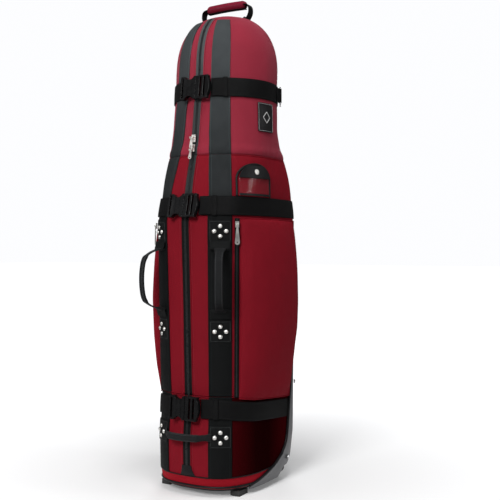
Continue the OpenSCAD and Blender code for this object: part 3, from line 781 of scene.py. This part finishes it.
# ---------------------------------------------------------------- main zip
def zip_side(side):
    """One side of the main zip: its tape, its teeth and the stitches beside it."""
    word = SIDES[side]
    runs = (("zip_body", FLAP_FOOT, NECK), ("zip_hood", NECK, ZIP_HEAD),
            ("zip_low", ZIP_FOOT, FLAP_FOOT - 1.5 * MM))
    for name, v0, v1 in runs:
        inner = lambda v: side * angle_at(0.5 * MM, v)
        outer = lambda v: side * angle_at(TAPE, v)
        low = cloth_grid(inner, outer, v0, v1, 0.2 * MM, 0.7)
        high = cloth_grid(inner, outer, v0, v1, 1.5 * MM, 0.7)
        tape = slab(f"{name}_tape_{word}", low, high, M["tape"], flip=side < 0)
        v = np.arange(v0 + (0.6 if side > 0 else 1.9) * MM, v1, 2.6 * MM)
        verts, faces = [], []
        for z in v:
            spot = on_form(side * float(angle_at(1.5 * MM, z)), z,
                           float(slack(np.array(0.6 * side), np.array(z))) + 2.0 * MM)
            base = len(verts)
            for dz in (-0.8, 0.8):
                for dx, dy in ((-1.9, 0.9), (1.9, 0.9), (2.1, -0.2), (1.4, -0.9), (-1.4, -0.9),
                               (-2.1, -0.2)):
                    verts.append(spot @ Vector((dx * MM, dy * MM, dz * MM)))
            faces += [tuple(base + (k + j) % 6 + 6 * i for j, i in ((0, 0), (1, 0), (1, 1), (0, 1)))
                      for k in range(6)]
            faces += [tuple(base + k for k in (5, 4, 3, 2, 1, 0)),
                      tuple(base + 6 + k for k in range(6))]
        teeth = new_object(f"{name}_teeth_{word}", verts, faces, M["teeth"], smooth=False)
        v = np.linspace(v0, v1, max(8, int((v1 - v0) / (6 * MM))))
        rows = [stitches(f"{name}_stitch_{word}", along(side * angle_at(17.5 * MM, v), v, 0.6 * MM),
                         M["red_thread"])]
        lip_v = np.linspace(v0, v1, max(8, int((v1 - v0) / (5 * MM))))
        rows.append(tube(f"{name}_lip_{word}", along(side * angle_at(12.6 * MM, lip_v), lip_v, 0.5 * MM),
                         1.5 * MM, M["hood" if name == "zip_hood" else "red"]))
        for piece in [tape, teeth] + rows:
            if name == "zip_low":
                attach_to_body(piece, "case")
            elif name == "zip_body":
                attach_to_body(piece, f"{word}_flap")
            else:
                fold(piece, True)
        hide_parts("lower_zip" if name == "zip_low" else f"{word}_zip_half")


def garage():
    """The folded tab over the zip's lower end."""
    u = np.linspace(-1, 1, 21)[None, :]
    w = np.linspace(0, 1, 9)[:, None]
    v = ZIP_FOOT - 2 * MM + w * 26 * MM + 0 * u
    flare = 15 * MM + 9 * MM * (1 - w) ** 2
    a = np.degrees(np.arctan(flare * u / BELLY)) + 1.2 * (1 - w) ** 2
    off = 2.6 * MM + 2.5 * MM * np.sin(w * math.pi) * (1 - u ** 2)
    piece = slab("zip_garage", form(a, v, off - 1.6 * MM), form(a, v, off), M["leather"])
    soften(piece, 0.7)
    attach("case", "leatherette", piece)


# ---------------------------------------------------------------- seams
def seam_cord(name, a, v, off, radius, material, body=None, hood=False):
    cord = tube(name, along(a, v, off), radius, material)
    if body:
        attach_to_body(cord, body)
    else:
        fold(cord, hood)
    return cord


def seams():
    """The neck seam, the flaps' hems and the piping round the foot."""
    for side in (1, -1):
        word = SIDES[side]
        turn = np.concatenate([np.linspace(5, 33, 20)[:-1], np.linspace(33, 43, 15)[:-1],
                               np.linspace(43, 180, 70)])
        seam_cord(f"neck_seam_{word}", side * turn, NECK - 1.5 * MM, 0.6 * MM, 1.7 * MM,
                  M["red"])
        hem = np.linspace(5, 38.4, 30)
        seam_cord(f"flap_hem_{word}", side * hem, FLAP_FOOT + 1.4 * MM, 0.4 * MM, 1.5 * MM,
                  M["red"], body=f"{word}_flap")
    ring = np.linspace(-180, 180, 181)
    seam_cord("panel_hem", ring, FLAP_FOOT - 3 * MM, 0.2 * MM, 1.4 * MM, M["red"], body="case")
    foot = tube("foot_piping", form(ring[:-1], 27 * MM, 0.5 * MM), 3.0 * MM, M["piping"], closed=True)
    attach("case", "leatherette", foot)
    seam_cord("gusset_seam", np.linspace(-88, 88, 120), GUSSET_Z, 0.4 * MM, 1.6 * MM, M["piping"],
              body="case")


# ---------------------------------------------------------------- side pockets
POCKET_FRONT = 43.0
POCKET_BULGE = 40 * MM


def pocket_back(v):
    return np.interp(v, [0.230, 0.273, 0.400, 0.440], [120.5, 123.5, 127.5, 131])


def pocket_frame(cols, rows):
    """Angles and heights over a side pocket, whose foot slopes like the bottom strap."""
    u = np.linspace(0, 1, cols)[None, :]
    w = np.linspace(0, 1, rows)[:, None]
    back = pocket_back(POCKET_FOOT_FRONT + (POCKET_HEAD - POCKET_FOOT_FRONT) * w)
    a = POCKET_FRONT + (back - POCKET_FRONT) * u
    foot = POCKET_FOOT_FRONT - drop(a)
    return u + 0 * w, w + 0 * u, a, foot + (POCKET_HEAD - foot) * w


def pocket_points(side, off, cols=66, rows=96):
    """The outside of a full side pocket: crowned, with a heavier lower half and drawn-in edges."""
    u, w, a, v = pocket_frame(cols, rows)
    su, sw = np.sin(math.pi * u), np.sin(math.pi * w ** 1.06)
    swell = POCKET_BULGE * np.maximum(su, 0) ** 0.45 * np.maximum(sw, 0) ** 0.50
    p = form(side * a, v, 0)
    edge = np.maximum(bell(u, 0.10) + bell(1 - u, 0.10), bell(w, 0.06) + bell(1 - w, 0.06))
    creases = 1.8 * MM * edge * ripple(p, (70, 70, 16), 11.0) * (su * sw > 0.02)
    sag = (1.4 * MM * ripple(p, (14, 14, 6), 2.0) + 0.8 * MM * ripple(p, (34, 34, 15), 4.0))
    lift = swell + (creases + sag) * np.minimum(1, su * 4) - 1.0 * MM
    return form(side * a, v, np.maximum(lift, 0.2 * MM) + off)


def pocket(side):
    word = SIDES[side]
    outer = pocket_points(side, 1.4 * MM)
    rows, cols = outer.shape[:2]
    a, v = pocket_frame(cols, rows)[2:]
    inner = form(side * a, v, -1.0 * MM)
    piece = slab(f"pocket_{word}_cloth", inner, outer, M["red"], flip=side < 0)
    attach("case", "red_cloth", piece)
    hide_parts(f"pocket_{word}")
    foot, back, head = (np.stack([side * a[line], v[line]], -1)
                        for line in (0, (slice(None), -1), -1))
    border = np.concatenate([foot[:-1], back, head[::-1][1:]])
    rim = tube(f"pocket_{word}_rim", form(border[:, 0], border[:, 1], 2.2 * MM), 1.6 * MM, M["red"])
    sewn = stitches(f"pocket_{word}_stitch", outer[3:-3, -4] + (outer[3:-3, -5] - inner[3:-3, -5]) * 0.03,
                    M["red_thread"])
    attach("case", "red_cloth", rim, sewn)


def pocket_zip(side):
    """The straight zip down a pocket's front edge."""
    word = SIDES[side]
    v = np.linspace(POCKET_FOOT_FRONT - 4 * MM, POCKET_HEAD, 100)[:, None]
    a = side * np.linspace(38.9, 42.9, 9)[None, :] + 0 * v
    low, high = form(a, v + 0 * a, 0.2 * MM), form(a, v + 0 * a, 2.0 * MM)
    tape = slab(f"pocket_zip_tape_{word}", low, high, M["tape"], flip=side < 0)
    verts, faces = [], []
    for z in np.arange(POCKET_FOOT_FRONT, POCKET_HEAD - 2 * MM, 2.2 * MM):
        spot = on_form(side * 40.7, z, 2.5 * MM)
        base = len(verts)
        for dz in (-0.7, 0.7):
            for dx, dy in ((-2.4, 0.8), (2.4, 0.8), (2.0, -0.7), (-2.0, -0.7)):
                verts.append(spot @ Vector((dx * MM, dy * MM, dz * MM)))
        faces += [tuple(base + k for k in f) for f in
                  ((0, 1, 5, 4), (1, 2, 6, 5), (2, 3, 7, 6), (3, 0, 4, 7), (3, 2, 1, 0), (4, 5, 6, 7))]
    teeth = new_object(f"pocket_zip_teeth_{word}", verts, faces, M["teeth"], smooth=False)
    attach("case", "webbing", tape, teeth)
    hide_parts("pocket_zips")


# ---------------------------------------------------------------- moulded skid plate
WHEEL_ZONE = np.array([[106, 14], [114, 40], [144, 40], [152, 14]]) * (1, MM)
WING = np.array([[54, 20], [73, 36], [94, 54], [109, 76], [116, 98], [119, 122], [123, 215],
                 [127, 273], [131, 400], [150, 420], [180, 425]]) * (1, MM)


def wing_top(side_angle):
    """The plate's upper edge, rounded where its straight runs meet."""
    return sum(np.interp(side_angle + k * 1.2, WING[:, 0], WING[:, 1]) for k in (-1, 0, 1)) / 3


def skid_plate():
    a = np.linspace(54, 306, 253)[None, :]
    near = np.minimum(a, 360 - a)
    low = np.interp(near, WHEEL_ZONE[:, 0], WHEEL_ZONE[:, 1])
    high = np.maximum(wing_top(near), low + 6 * MM)
    w = np.linspace(0, 1, 61)[:, None]
    v = low + (high - low) * w
    aa = a + 0 * w
    rib = sum(bell(near - c, 1.6) for c in (140, 150, 160, 170, 180))
    inside = np.clip((high - v) / (22 * MM), 0, 1) * np.clip((v - low - 30 * MM) / (30 * MM), 0, 1)
    lip = 0.9 * MM * bell(high - v, 5 * MM)
    off = 4.6 * MM + 1.8 * MM * rib * inside + lip
    piece = slab("skid_plate", form(aa, v, 0.8 * MM), form(aa, v, off), M["plate"])
    soften(piece, 1.2, 3, 45)
    attach("case", "moulded_plastic", piece)
    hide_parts("moulded_plate")
    turn = np.linspace(54, 306, 400)
    near = np.minimum(turn, 360 - turn)
    cord = tube("plate_piping", form(turn, wing_top(near) + 2.5 * MM, 2.2 * MM), 3.6 * MM, M["piping"])
    attach("case", "leatherette", cord)


for half in (1, -1):
    zip_side(half)
    pocket(half)
    pocket_zip(half)
garage()
seams()
skid_plate()


# ---------------------------------------------------------------- handles and their anchors
def patch(name, a, z, body, width=55 * MM, height=56 * MM, off=3.0 * MM, thick=1.3 * MM):
    """A sewn reinforcement patch on the wide webbing."""
    half = width / 2 / 0.190
    u = np.linspace(-1, 1, 15)[None, :]
    w = np.linspace(-1, 1, 15)[:, None]
    aa, vv = a + math.degrees(half) * u + 0 * w, z + height / 2 * w + 0 * u
    give = 0.4 * MM * ripple(form(aa, vv, 0), (60, 60, 60), 9.0)
    piece = slab(name, form(aa, vv, off - 2.4 * MM), form(aa, vv, off + thick + give - 1.2 * MM),
                 M["webbing_patch"])
    soften(piece, 0.8)
    k = 0.90
    corners = [(-k, -k), (k, -k), (k, k), (-k, k), (-k, -k)]
    t = np.linspace(0, 1, 12, endpoint=False)
    loop = np.array([(p[0] + (q[0] - p[0]) * s, p[1] + (q[1] - p[1]) * s)
                     for p, q in zip(corners, corners[1:]) for s in t] + [corners[0]])
    sewn = stitches(f"{name}_stitch", form(a + math.degrees(half) * loop[:, 0],
                                           z + height / 2 * loop[:, 1], off + thick - 0.9 * MM),
                    M["black_thread"], 3.4 * MM)
    attach(body, "webbing", piece, sewn)


def carry_handle(side):
    """A webbing carry handle: two folded anchors and a padded, bowed grip."""
    word = SIDES[side]
    name = f"carry_handle_{word}"
    turn = side * HANDLE_ANGLE
    low_box, high_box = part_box(name)
    mid = (low_box.z + high_box.z) / 2
    root = form(turn, mid, 0)
    out = Vector((math.sin(math.radians(turn)), -math.cos(math.radians(turn)), 0))
    across = Vector((math.cos(math.radians(turn)), math.sin(math.radians(turn)), 0))
    profile = [(6, 84), (17, 78), (34, 71), (48, 61), (56, 46), (60, 22), (61, 0), (60, -22),
               (56, -46), (48, -61), (34, -71), (17, -78), (6, -84)]
    path = smooth_path([Vector(root) + out * (d * MM) + Vector((0, 0, h * MM))
                        for d, h in profile], 96)
    t = np.linspace(0, 1, 96)
    grip = np.clip((0.31 - abs(t - 0.5)) / 0.05, 0, 1)
    grip = grip * grip * (3 - 2 * grip)
    width = (20 + 1 * grip + 12 * bell(t, 0.12) + 8 * bell(1 - t, 0.08)) * MM
    thick = (3.2 + 6.0 * grip) * MM
    piece = ribbon(f"{name}_strap", path, across, width, thick, M["handle"], 3.2)
    attach(name, "webbing", piece)
    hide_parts(name)
    face = np.array(out)
    for sign in (1, -1):
        line = path[14:-14] + np.array(across) * sign * 7.5 * MM
        ahead = np.gradient(path[14:-14], axis=0)
        ahead /= np.linalg.norm(ahead, axis=1)[:, None]
        outward = np.cross(ahead, np.array(across))
        outward *= np.sign(np.sum(outward * face, 1))[:, None]
        sewn = stitches(f"{name}_stitch_{'a' if sign > 0 else 'b'}",
                        line + outward * (thick[14:-14, None] * 0.42), M["black_thread"])
        attach(name, "webbing", sewn)
    for end, z in (("upper", mid + 84 * MM), ("lower", mid - 84 * MM)):
        sign = 1 if end == "upper" else -1
        fold_path = smooth_path([form(turn, z + sign * 16 * MM, 3.4 * MM),
                                 form(turn, z + sign * 6 * MM, 5.5 * MM),
                                 form(turn, z - sign * 3 * MM, 8.0 * MM),
                                 form(turn, z - sign * 7 * MM, 6.0 * MM),
                                 form(turn, z - sign * 4 * MM, 3.2 * MM)], 24)
        loop = ribbon(f"{name}_{end}_fold", fold_path, across, 52 * MM, 2.4 * MM,
                      M["webbing_patch"], 4.0)
        attach(f"{word}_flap", "webbing", loop)


def lower_handle():
    """The lift handle across the foot of the front."""
    z = (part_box("lower_handle")[0].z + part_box("lower_handle")[1].z) / 2
    front = form(0, z, 30 * MM)[1]
    end = form(HANDLE_ANGLE - 6.6, z, 3.4 * MM)
    near = form(HANDLE_ANGLE - 10, z, 9 * MM)
    points = [(-end[0], end[1]), (-near[0], near[1]), (-46 * MM, front + 9 * MM),
              (-26 * MM, front + 2 * MM), (0, front), (26 * MM, front + 2 * MM),
              (46 * MM, front + 9 * MM), (near[0], near[1]), (end[0], end[1])]
    path = smooth_path([(x, y, z) for x, y in points], 90)
    t = abs(np.linspace(-1, 1, 90))
    grip = np.clip((0.62 - t) / 0.08, 0, 1)
    width = (16 + 3 * grip + 8 * bell(1 - t, 0.12)) * MM
    piece = ribbon("lower_handle_strap", path, (0, 0, 1), width, (2.6 + 3.2 * grip) * MM,
                   M["handle"], 3.4)
    attach("lower_handle", "webbing", piece)
    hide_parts("lower_handle")
    for sign in (1, -1):
        row = path[20:-20] + np.array([0, -2.6 * MM, sign * 7.0 * MM])
        sewn = stitches(f"lower_handle_stitch_{'a' if sign > 0 else 'b'}", row, M["black_thread"])
        attach("lower_handle", "webbing", sewn)


def top_handle():
    """The crown handle: a burgundy wrap over black webbing that loops down to the crown."""
    low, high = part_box("top_handle")
    axis_y = (low.y + high.y) / 2
    grip_z = high.z - 12 * MM
    half = high.x
    foot_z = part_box("hood_crown")[1].z + 2 * MM
    points = [(-half + 13 * MM, foot_z - 14 * MM), (-half + 4 * MM, foot_z),
              (-half + 1.5 * MM, grip_z - 18 * MM), (-half + 5 * MM, grip_z - 5 * MM),
              (-half + 18 * MM, grip_z), (-30 * MM, grip_z + 1 * MM),
              (0, grip_z + 1.5 * MM), (30 * MM, grip_z + 1 * MM), (half - 18 * MM, grip_z),
              (half - 5 * MM, grip_z - 5 * MM), (half - 1.5 * MM, grip_z - 18 * MM),
              (half - 4 * MM, foot_z), (half - 13 * MM, foot_z - 14 * MM)]
    path = smooth_path([(x, axis_y, z) for x, z in points], 120)
    web = ribbon("top_handle_webbing", path, (0, 1, 0), 25 * MM, 3.2 * MM, M["webbing_patch"], 3.6)
    centre = smooth_path([(x, axis_y, z) for x, z in points[4:9]], 70)
    t = abs(np.linspace(-1, 1, 70))
    fat = 1 - 0.25 * np.clip((t - 0.9) / 0.1, 0, 1)
    wrap = ribbon("top_handle_wrap", centre, (0, 1, 0), 28 * MM * fat, 23 * MM * fat, M["wrap"], 2.3)
    under = ribbon("top_handle_closure", centre + np.array([0, 0, -10.6 * MM]), (0, 1, 0), 16 * MM,
                   3.0 * MM, M["strap"], 3.0)
    for piece, material in ((web, "webbing"), (wrap, "handle_wrap"), (under, "webbing")):
        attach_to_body(piece, "top_handle")
    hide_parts("top_handle")
    line = centre[3:-3] + np.array([0, 0, 0.3 * MM])
    for sign in (1, -1):
        sewn = stitches(f"top_handle_stitch_{'a' if sign > 0 else 'b'}",
                        line + np.array([0, sign * 13.6 * MM, -2 * MM]), M["black_thread"])
        attach("top_handle", "handle_wrap", sewn)
    for sign in (1, -1):
        anchor = smooth_path([(sign * (half - 34 * MM), axis_y, foot_z - 24 * MM),
                              (sign * (half - 22 * MM), axis_y, foot_z - 14 * MM),
                              (sign * (half - 12 * MM), axis_y, foot_z - 7 * MM)], 16)
        piece = ribbon(f"top_handle_anchor_{SIDES[sign]}", anchor, (0, 1, 0),
                       34 * MM, 3 * MM, M["webbing_patch"], 4.0)
        attach("case", "webbing", piece)


# ---------------------------------------------------------------- ID window and patch
ID_A0, ID_A1 = 41.0, 82.0


def arch(u, w, square=0.52):
    """Maps the unit square onto an arched window: straight sides, then a round head."""
    reach = np.where(w > square, np.sqrt(np.maximum(0, 1 - ((w - square) / (1 - square)) ** 2)), 1)
    reach = np.maximum(reach, 0.10)
    return 0.5 + (u - 0.5) * reach, w


def id_sheet(name, u0, u1, w0, w1, off, thick, material, z0, z1):
    """A piece of the arched window, between shares of its width and of its height z0 to z1."""
    u = np.linspace(u0, u1, 25)[None, :] + 0 * np.linspace(0, 1, 19)[:, None]
    w = np.linspace(w0, w1, 19)[:, None] + 0 * u
    u, w = arch(u, w)
    a, v = ID_A0 + (ID_A1 - ID_A0) * u, z0 + (z1 - z0) * w
    give = 0.5 * MM * ripple(form(a, v, 0), (30, 30, 30), 6.0)
    return slab(name, form(a, v, off + give), form(a, v, off + give + thick), material)


def id_window():
    """The name-card pocket: an arched leatherette border, a clear window and a snap flap."""
    low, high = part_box("id_flap")
    z0, z1 = low.z - 8 * MM, high.z + 6 * MM
    back = id_sheet("id_pocket_back", 0.02, 0.98, 0, 0.97, 0.6 * MM, 1.5 * MM, M["red"], z0, z1)
    u = np.concatenate([np.full(24, 0.0), np.linspace(0, 1, 60), np.full(24, 1.0)])
    t = np.concatenate([np.linspace(0, 0.52, 24), 0.52 + 0.48 * np.sin(np.linspace(0, math.pi, 60)),
                        np.linspace(0.52, 0, 24)])
    u[24:84] = 0.5 - 0.5 * np.cos(np.linspace(0, math.pi, 60))
    a, v = ID_A0 + (ID_A1 - ID_A0) * u, z0 + (z1 - z0) * t
    border = tube("id_pocket_border", form(a, v, 3.0 * MM), 3.0 * MM, M["leather"])
    for piece in (back, border):
        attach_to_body(piece, "case")
    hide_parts("id_pocket")
    pane = id_sheet("id_window_pane", 0.06, 0.94, 0.05, 0.62, 5.3 * MM, 0.5 * MM, M["vinyl"],
                    z0, z1)
    half_moon = id_sheet("id_snap_flap", 0.05, 0.95, 0.56, 0.965, 5.4 * MM, 1.8 * MM, M["leather"],
                         z0, z1)
    soften(half_moon, 0.6)
    edge = id_sheet("id_window_edge", 0.05, 0.95, 0.02, 0.09, 5.3 * MM, 0.9 * MM, M["leather"],
                    z0, z1)
    spot = on_form((ID_A0 + ID_A1) / 2, z0 + (z1 - z0) * 0.76, 7.2 * MM)
    rings = [(7.4, 0), (7.4, 0.8), (6.8, 1.5), (5.6, 1.7), (5.0, 1.2), (3.6, 1.0), (2.4, 1.5),
             (0.01, 1.7)]
    sides = 40
    verts = [spot @ Vector((r * math.cos(2 * math.pi * k / sides) * MM, -h * MM,
                            r * math.sin(2 * math.pi * k / sides) * MM))
             for r, h in rings for k in range(sides)]
    faces = [(j * sides + k, j * sides + (k + 1) % sides, (j + 1) * sides + (k + 1) % sides,
              (j + 1) * sides + k) for j in range(len(rings) - 1) for k in range(sides)]
    snap = new_object("id_snap", verts, faces, M["zinc"])
    attach("id_flap", "leatherette", pane, half_moon, edge, snap)
    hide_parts("id_flap")


def maker_patch():
    """A plain embossed patch with a sewn edge and no lettering."""
    low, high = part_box("maker_patch")
    a = np.linspace(68, 92, 40)[None, :]
    v = np.linspace(low.z, high.z, 64)[:, None]
    u, w = (a - 68) / 24 + 0 * v, (v - low.z) / (high.z - low.z) + 0 * a
    from_edge = np.minimum(np.minimum(u, 1 - u) * 57, np.minimum(w, 1 - w) * 78)
    frame_line = 0.6 * MM * bell(from_edge - 7, 1.0)
    panel = 0.5 * MM * np.clip((from_edge - 12) / 1.0, 0, 1)
    high_side = form(a + 0 * v, v + 0 * a, 3.2 * MM + frame_line + panel)
    piece = slab("embossed_patch", form(a + 0 * v, v + 0 * a, 0.6 * MM), high_side, M["leather"])
    soften(piece, 0.6)
    loop = [(68.8 + 22.4 * x, low.z + 2.6 * MM + (high.z - low.z - 5.2 * MM) * y)
            for x, y in [(t, 0) for t in np.linspace(0, 1, 14)] + [(1, t) for t in np.linspace(0, 1, 20)]
            + [(t, 1) for t in np.linspace(1, 0, 14)] + [(0, t) for t in np.linspace(1, 0, 20)]]
    sewn = stitches("embossed_patch_stitch", np.array([form(a1, v1, 3.4 * MM) for a1, v1 in loop]),
                    M["pale_thread"], 3.2 * MM)
    middle = (low.z + high.z) / 2
    mark = [(80 + 5.2 * x, middle + 15 * MM * y) for x, y in ((0, -1), (1, 0), (0, 1), (-1, 0), (0, -1))]
    corners = np.array([form(a1, v1, 4.0 * MM) for a1, v1 in mark])
    sides = np.concatenate([np.linspace(corners[k], corners[k + 1], 12, endpoint=k == 3)
                            for k in range(4)])
    diamond = tube("embossed_patch_diamond", sides, 0.8 * MM, M["pale_thread"])
    attach("case", "leatherette", piece, sewn, diamond)
    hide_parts("maker_patch")


# ---------------------------------------------------------------- strap furniture
def keeper(z, side, x, body):
    """An elastic keeper round a strap's spare end."""
    word = LEVELS[z]
    a = side * float(angle_at(x, z))
    v = np.linspace(z - 26.5 * MM, z + 26.5 * MM, 21)
    path = form(a, v, strap_offset(a) + 2.4 * MM)
    across = Vector(form(a + 1, z, 0) - form(a - 1, z, 0))
    band = ribbon(f"strap_keeper_{word}_{int(x * 1000)}", path, across, 13 * MM, 2.2 * MM,
                  M["strap"], 3.5)
    attach(body, "webbing", band)


def strap_tail(z, body):
    """The spare end of a strap, folded back over itself beyond its plug."""
    word = LEVELS[z]
    a0, a1 = float(angle_at(44 * MM, z)), float(angle_at(92 * MM, z))
    low, high = (strap_grid(a0, a1, z, off, 47 * MM) for off in (2.0 * MM, 4.4 * MM))
    piece = slab(f"strap_tail_{word}", low, high, M["strap"], flip=True)
    soften(piece, 0.8)
    attach(body, "webbing", piece)


def ring_loop():
    """The webbing loop that holds the oblong ring to the top strap."""
    low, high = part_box("strap_ring")
    z = (low.z + high.z) / 2
    p = [form(105.0, z, 3.2 * MM), form(109.0, z, 4.2 * MM), form(111.5, z, 8.5 * MM),
         form(113.6, z, 12.0 * MM), form(115.0, z, 10.0 * MM), form(114.0, z, 6.4 * MM),
         form(108.0, z, 3.6 * MM)]
    loop = ribbon("ring_loop", smooth_path(p, 40), (0, 0, 1), 40 * MM, 1.8 * MM, M["strap"], 4.0)
    attach("case", "webbing", loop)


# ---------------------------------------------------------------- hard parts kept from the CAD
def crisp(name, material, width=0.6 * MM, angle=32, segments=2):
    """Gives a kept CAD part its material and soft moulded edges."""
    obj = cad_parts[name]
    for slot_index in range(max(1, len(obj.material_slots))):
        if not obj.material_slots:
            obj.data.materials.append(material)
        obj.material_slots[slot_index].material = material
    modifier(obj, "WELD", merge_threshold=0.01 * MM)
    modifier(obj, "BEVEL", width=width, segments=segments, limit_method="ANGLE",
             angle_limit=math.radians(angle), harden_normals=True)


HARD_PARTS = (
    ("buckle", 0.8, ("top_buckle_socket", "middle_buckle_socket", "bottom_buckle_socket",
                     "top_buckle_plug", "middle_buckle_plug", "bottom_buckle_plug")),
    ("zinc", 0.4, ("upper_slider", "lower_slider", "upper_pull", "lower_pull", "pocket_slider_left",
                   "pocket_slider_right", "pocket_pull_left", "pocket_pull_right")),
    ("zinc", 0.3, ("lower_handle_rivets", "left_handle_rivets", "right_handle_rivets")),
    ("steel", 0.8, ("strap_ring", "plate_screws", "wheel_axles")),
    ("pan", 1.5, ("base_pan",)),
    ("rubber", 1.5, ("front_feet", "pole_foot")),
    ("tyre", 1.6, ("wheel_tyre_left", "wheel_tyre_right")),
    ("core", 0.6, ("wheel_core_left", "wheel_core_right")),
    ("tube", 0.3, ("pole_lower_tube", "pole_middle_tube", "pole_upper_tube")),
    ("red_plastic", 0.8, ("pole_lower_collar", "pole_upper_collar", "pole_dome")),
)


def hard_parts():
    for look, width, names in HARD_PARTS:
        for name in names:
            crisp(name, M[look], width * MM)


for half in (1, -1):
    flap = f"{SIDES[half]}_flap"
    for patch_z, patch_body in ((0.688, flap), (0.430, flap), (0.158, "case")):
        patch(f"anchor_{SIDES[half]}_{int(patch_z * 1000)}", half * HANDLE_ANGLE,
              patch_z, patch_body)
    carry_handle(half)
lower_handle()
top_handle()
id_window()
maker_patch()
for level_z, level_body in ((TOP_STRAP, "right_flap"), (MID_STRAP, "right_flap"), (LOW_STRAP, "case")):
    strap_tail(level_z, level_body)
    keeper(level_z, 1, 84 * MM, level_body)
ring_loop()
hard_parts()


# ---------------------------------------------------------------- floor, light and camera
def studio():
    """A pale floor that fades into an even backdrop, and five soft lamps."""
    scene = bpy.context.scene
    scene.view_settings.view_transform = "Standard"
    scene.view_settings.look = "None"
    pale = (0.98, 0.985, 1.0, 1)
    floor_material, tree, bsdf = shader("studio_floor")
    place = node(tree, "ShaderNodeSeparateXYZ", {0: coordinates(tree, "Object")})
    square = [maths(tree, "MULTIPLY", place.outputs[k], place.outputs[k]) for k in (0, 1)]
    away = maths(tree, "SQRT", maths(tree, "ADD", square[0], square[1]))
    fade = node(tree, "ShaderNodeMapRange", {0: away, 1: 0.30, 2: 1.30, 3: 0.12, 4: 1.0})
    tree.links.new(mix_colour(tree, fade.outputs[0], (0.90, 0.90, 0.90, 1), (0.30, 0.30, 0.30, 1)),
                   bsdf.inputs["Base Color"])
    seen = node(tree, "ShaderNodeLightPath").outputs["Is Camera Ray"]
    bsdf.inputs["Emission Color"].default_value = pale
    tree.links.new(maths(tree, "MULTIPLY", fade.outputs[0], seen), bsdf.inputs["Emission Strength"])
    bsdf.inputs["Roughness"].default_value = 0.9
    bsdf.inputs["Specular IOR Level"].default_value = 0.0
    floor = new_object("studio_floor", [(-30, -30, 0), (30, -30, 0), (30, 30, 0), (-30, 30, 0)],
                       [(0, 1, 2, 3)], floor_material, smooth=False)
    world = bpy.data.worlds.new("studio")
    scene.world = world
    world.use_nodes = True
    tree = world.node_tree
    seen = node(tree, "ShaderNodeLightPath").outputs["Is Camera Ray"]
    glow = node(tree, "ShaderNodeMapRange", {0: seen, 1: 0.0, 2: 1.0, 3: 0.17, 4: 1.0})
    tree.nodes["Background"].inputs["Color"].default_value = pale
    tree.links.new(glow.outputs[0], tree.nodes["Background"].inputs["Strength"])
    for name, where, size, power in (
            ("key", (0.35, -3.4, 2.4), 1.2, 104),
            ("fill", (-3.0, -2.2, 1.4), 1.6, 16),
            ("rim", (3.3, 0.9, 1.5), 0.7, 20),
            ("top", (0.7, -0.9, 3.3), 1.0, 34),
            ("back", (-1.6, 3.2, 2.0), 1.4, 40)):
        light = bpy.data.lights.new(name, "AREA")
        light.energy, light.size = power, size
        lamp = bpy.data.objects.new(name, light)
        lamp.location = where
        lamp.rotation_euler = (Vector((0, 0, 0.65)) - Vector(where)).to_track_quat("-Z", "Y").to_euler()
        scene.collection.objects.link(lamp)


def camera():
    data = bpy.data.cameras.new("camera")
    data.lens, data.sensor_width = 59.0, 36.0
    eye = bpy.data.objects.new("camera", data)
    turn, far, height = math.radians(32), 2.30, 0.64
    eye.location = (far * math.sin(turn), -far * math.cos(turn), height)
    aim = Vector((0.0579, 0.0361, height))
    eye.rotation_euler = (aim - eye.location).to_track_quat("-Z", "Y").to_euler()
    bpy.context.scene.collection.objects.link(eye)
    bpy.context.scene.camera = eye


studio()
camera()
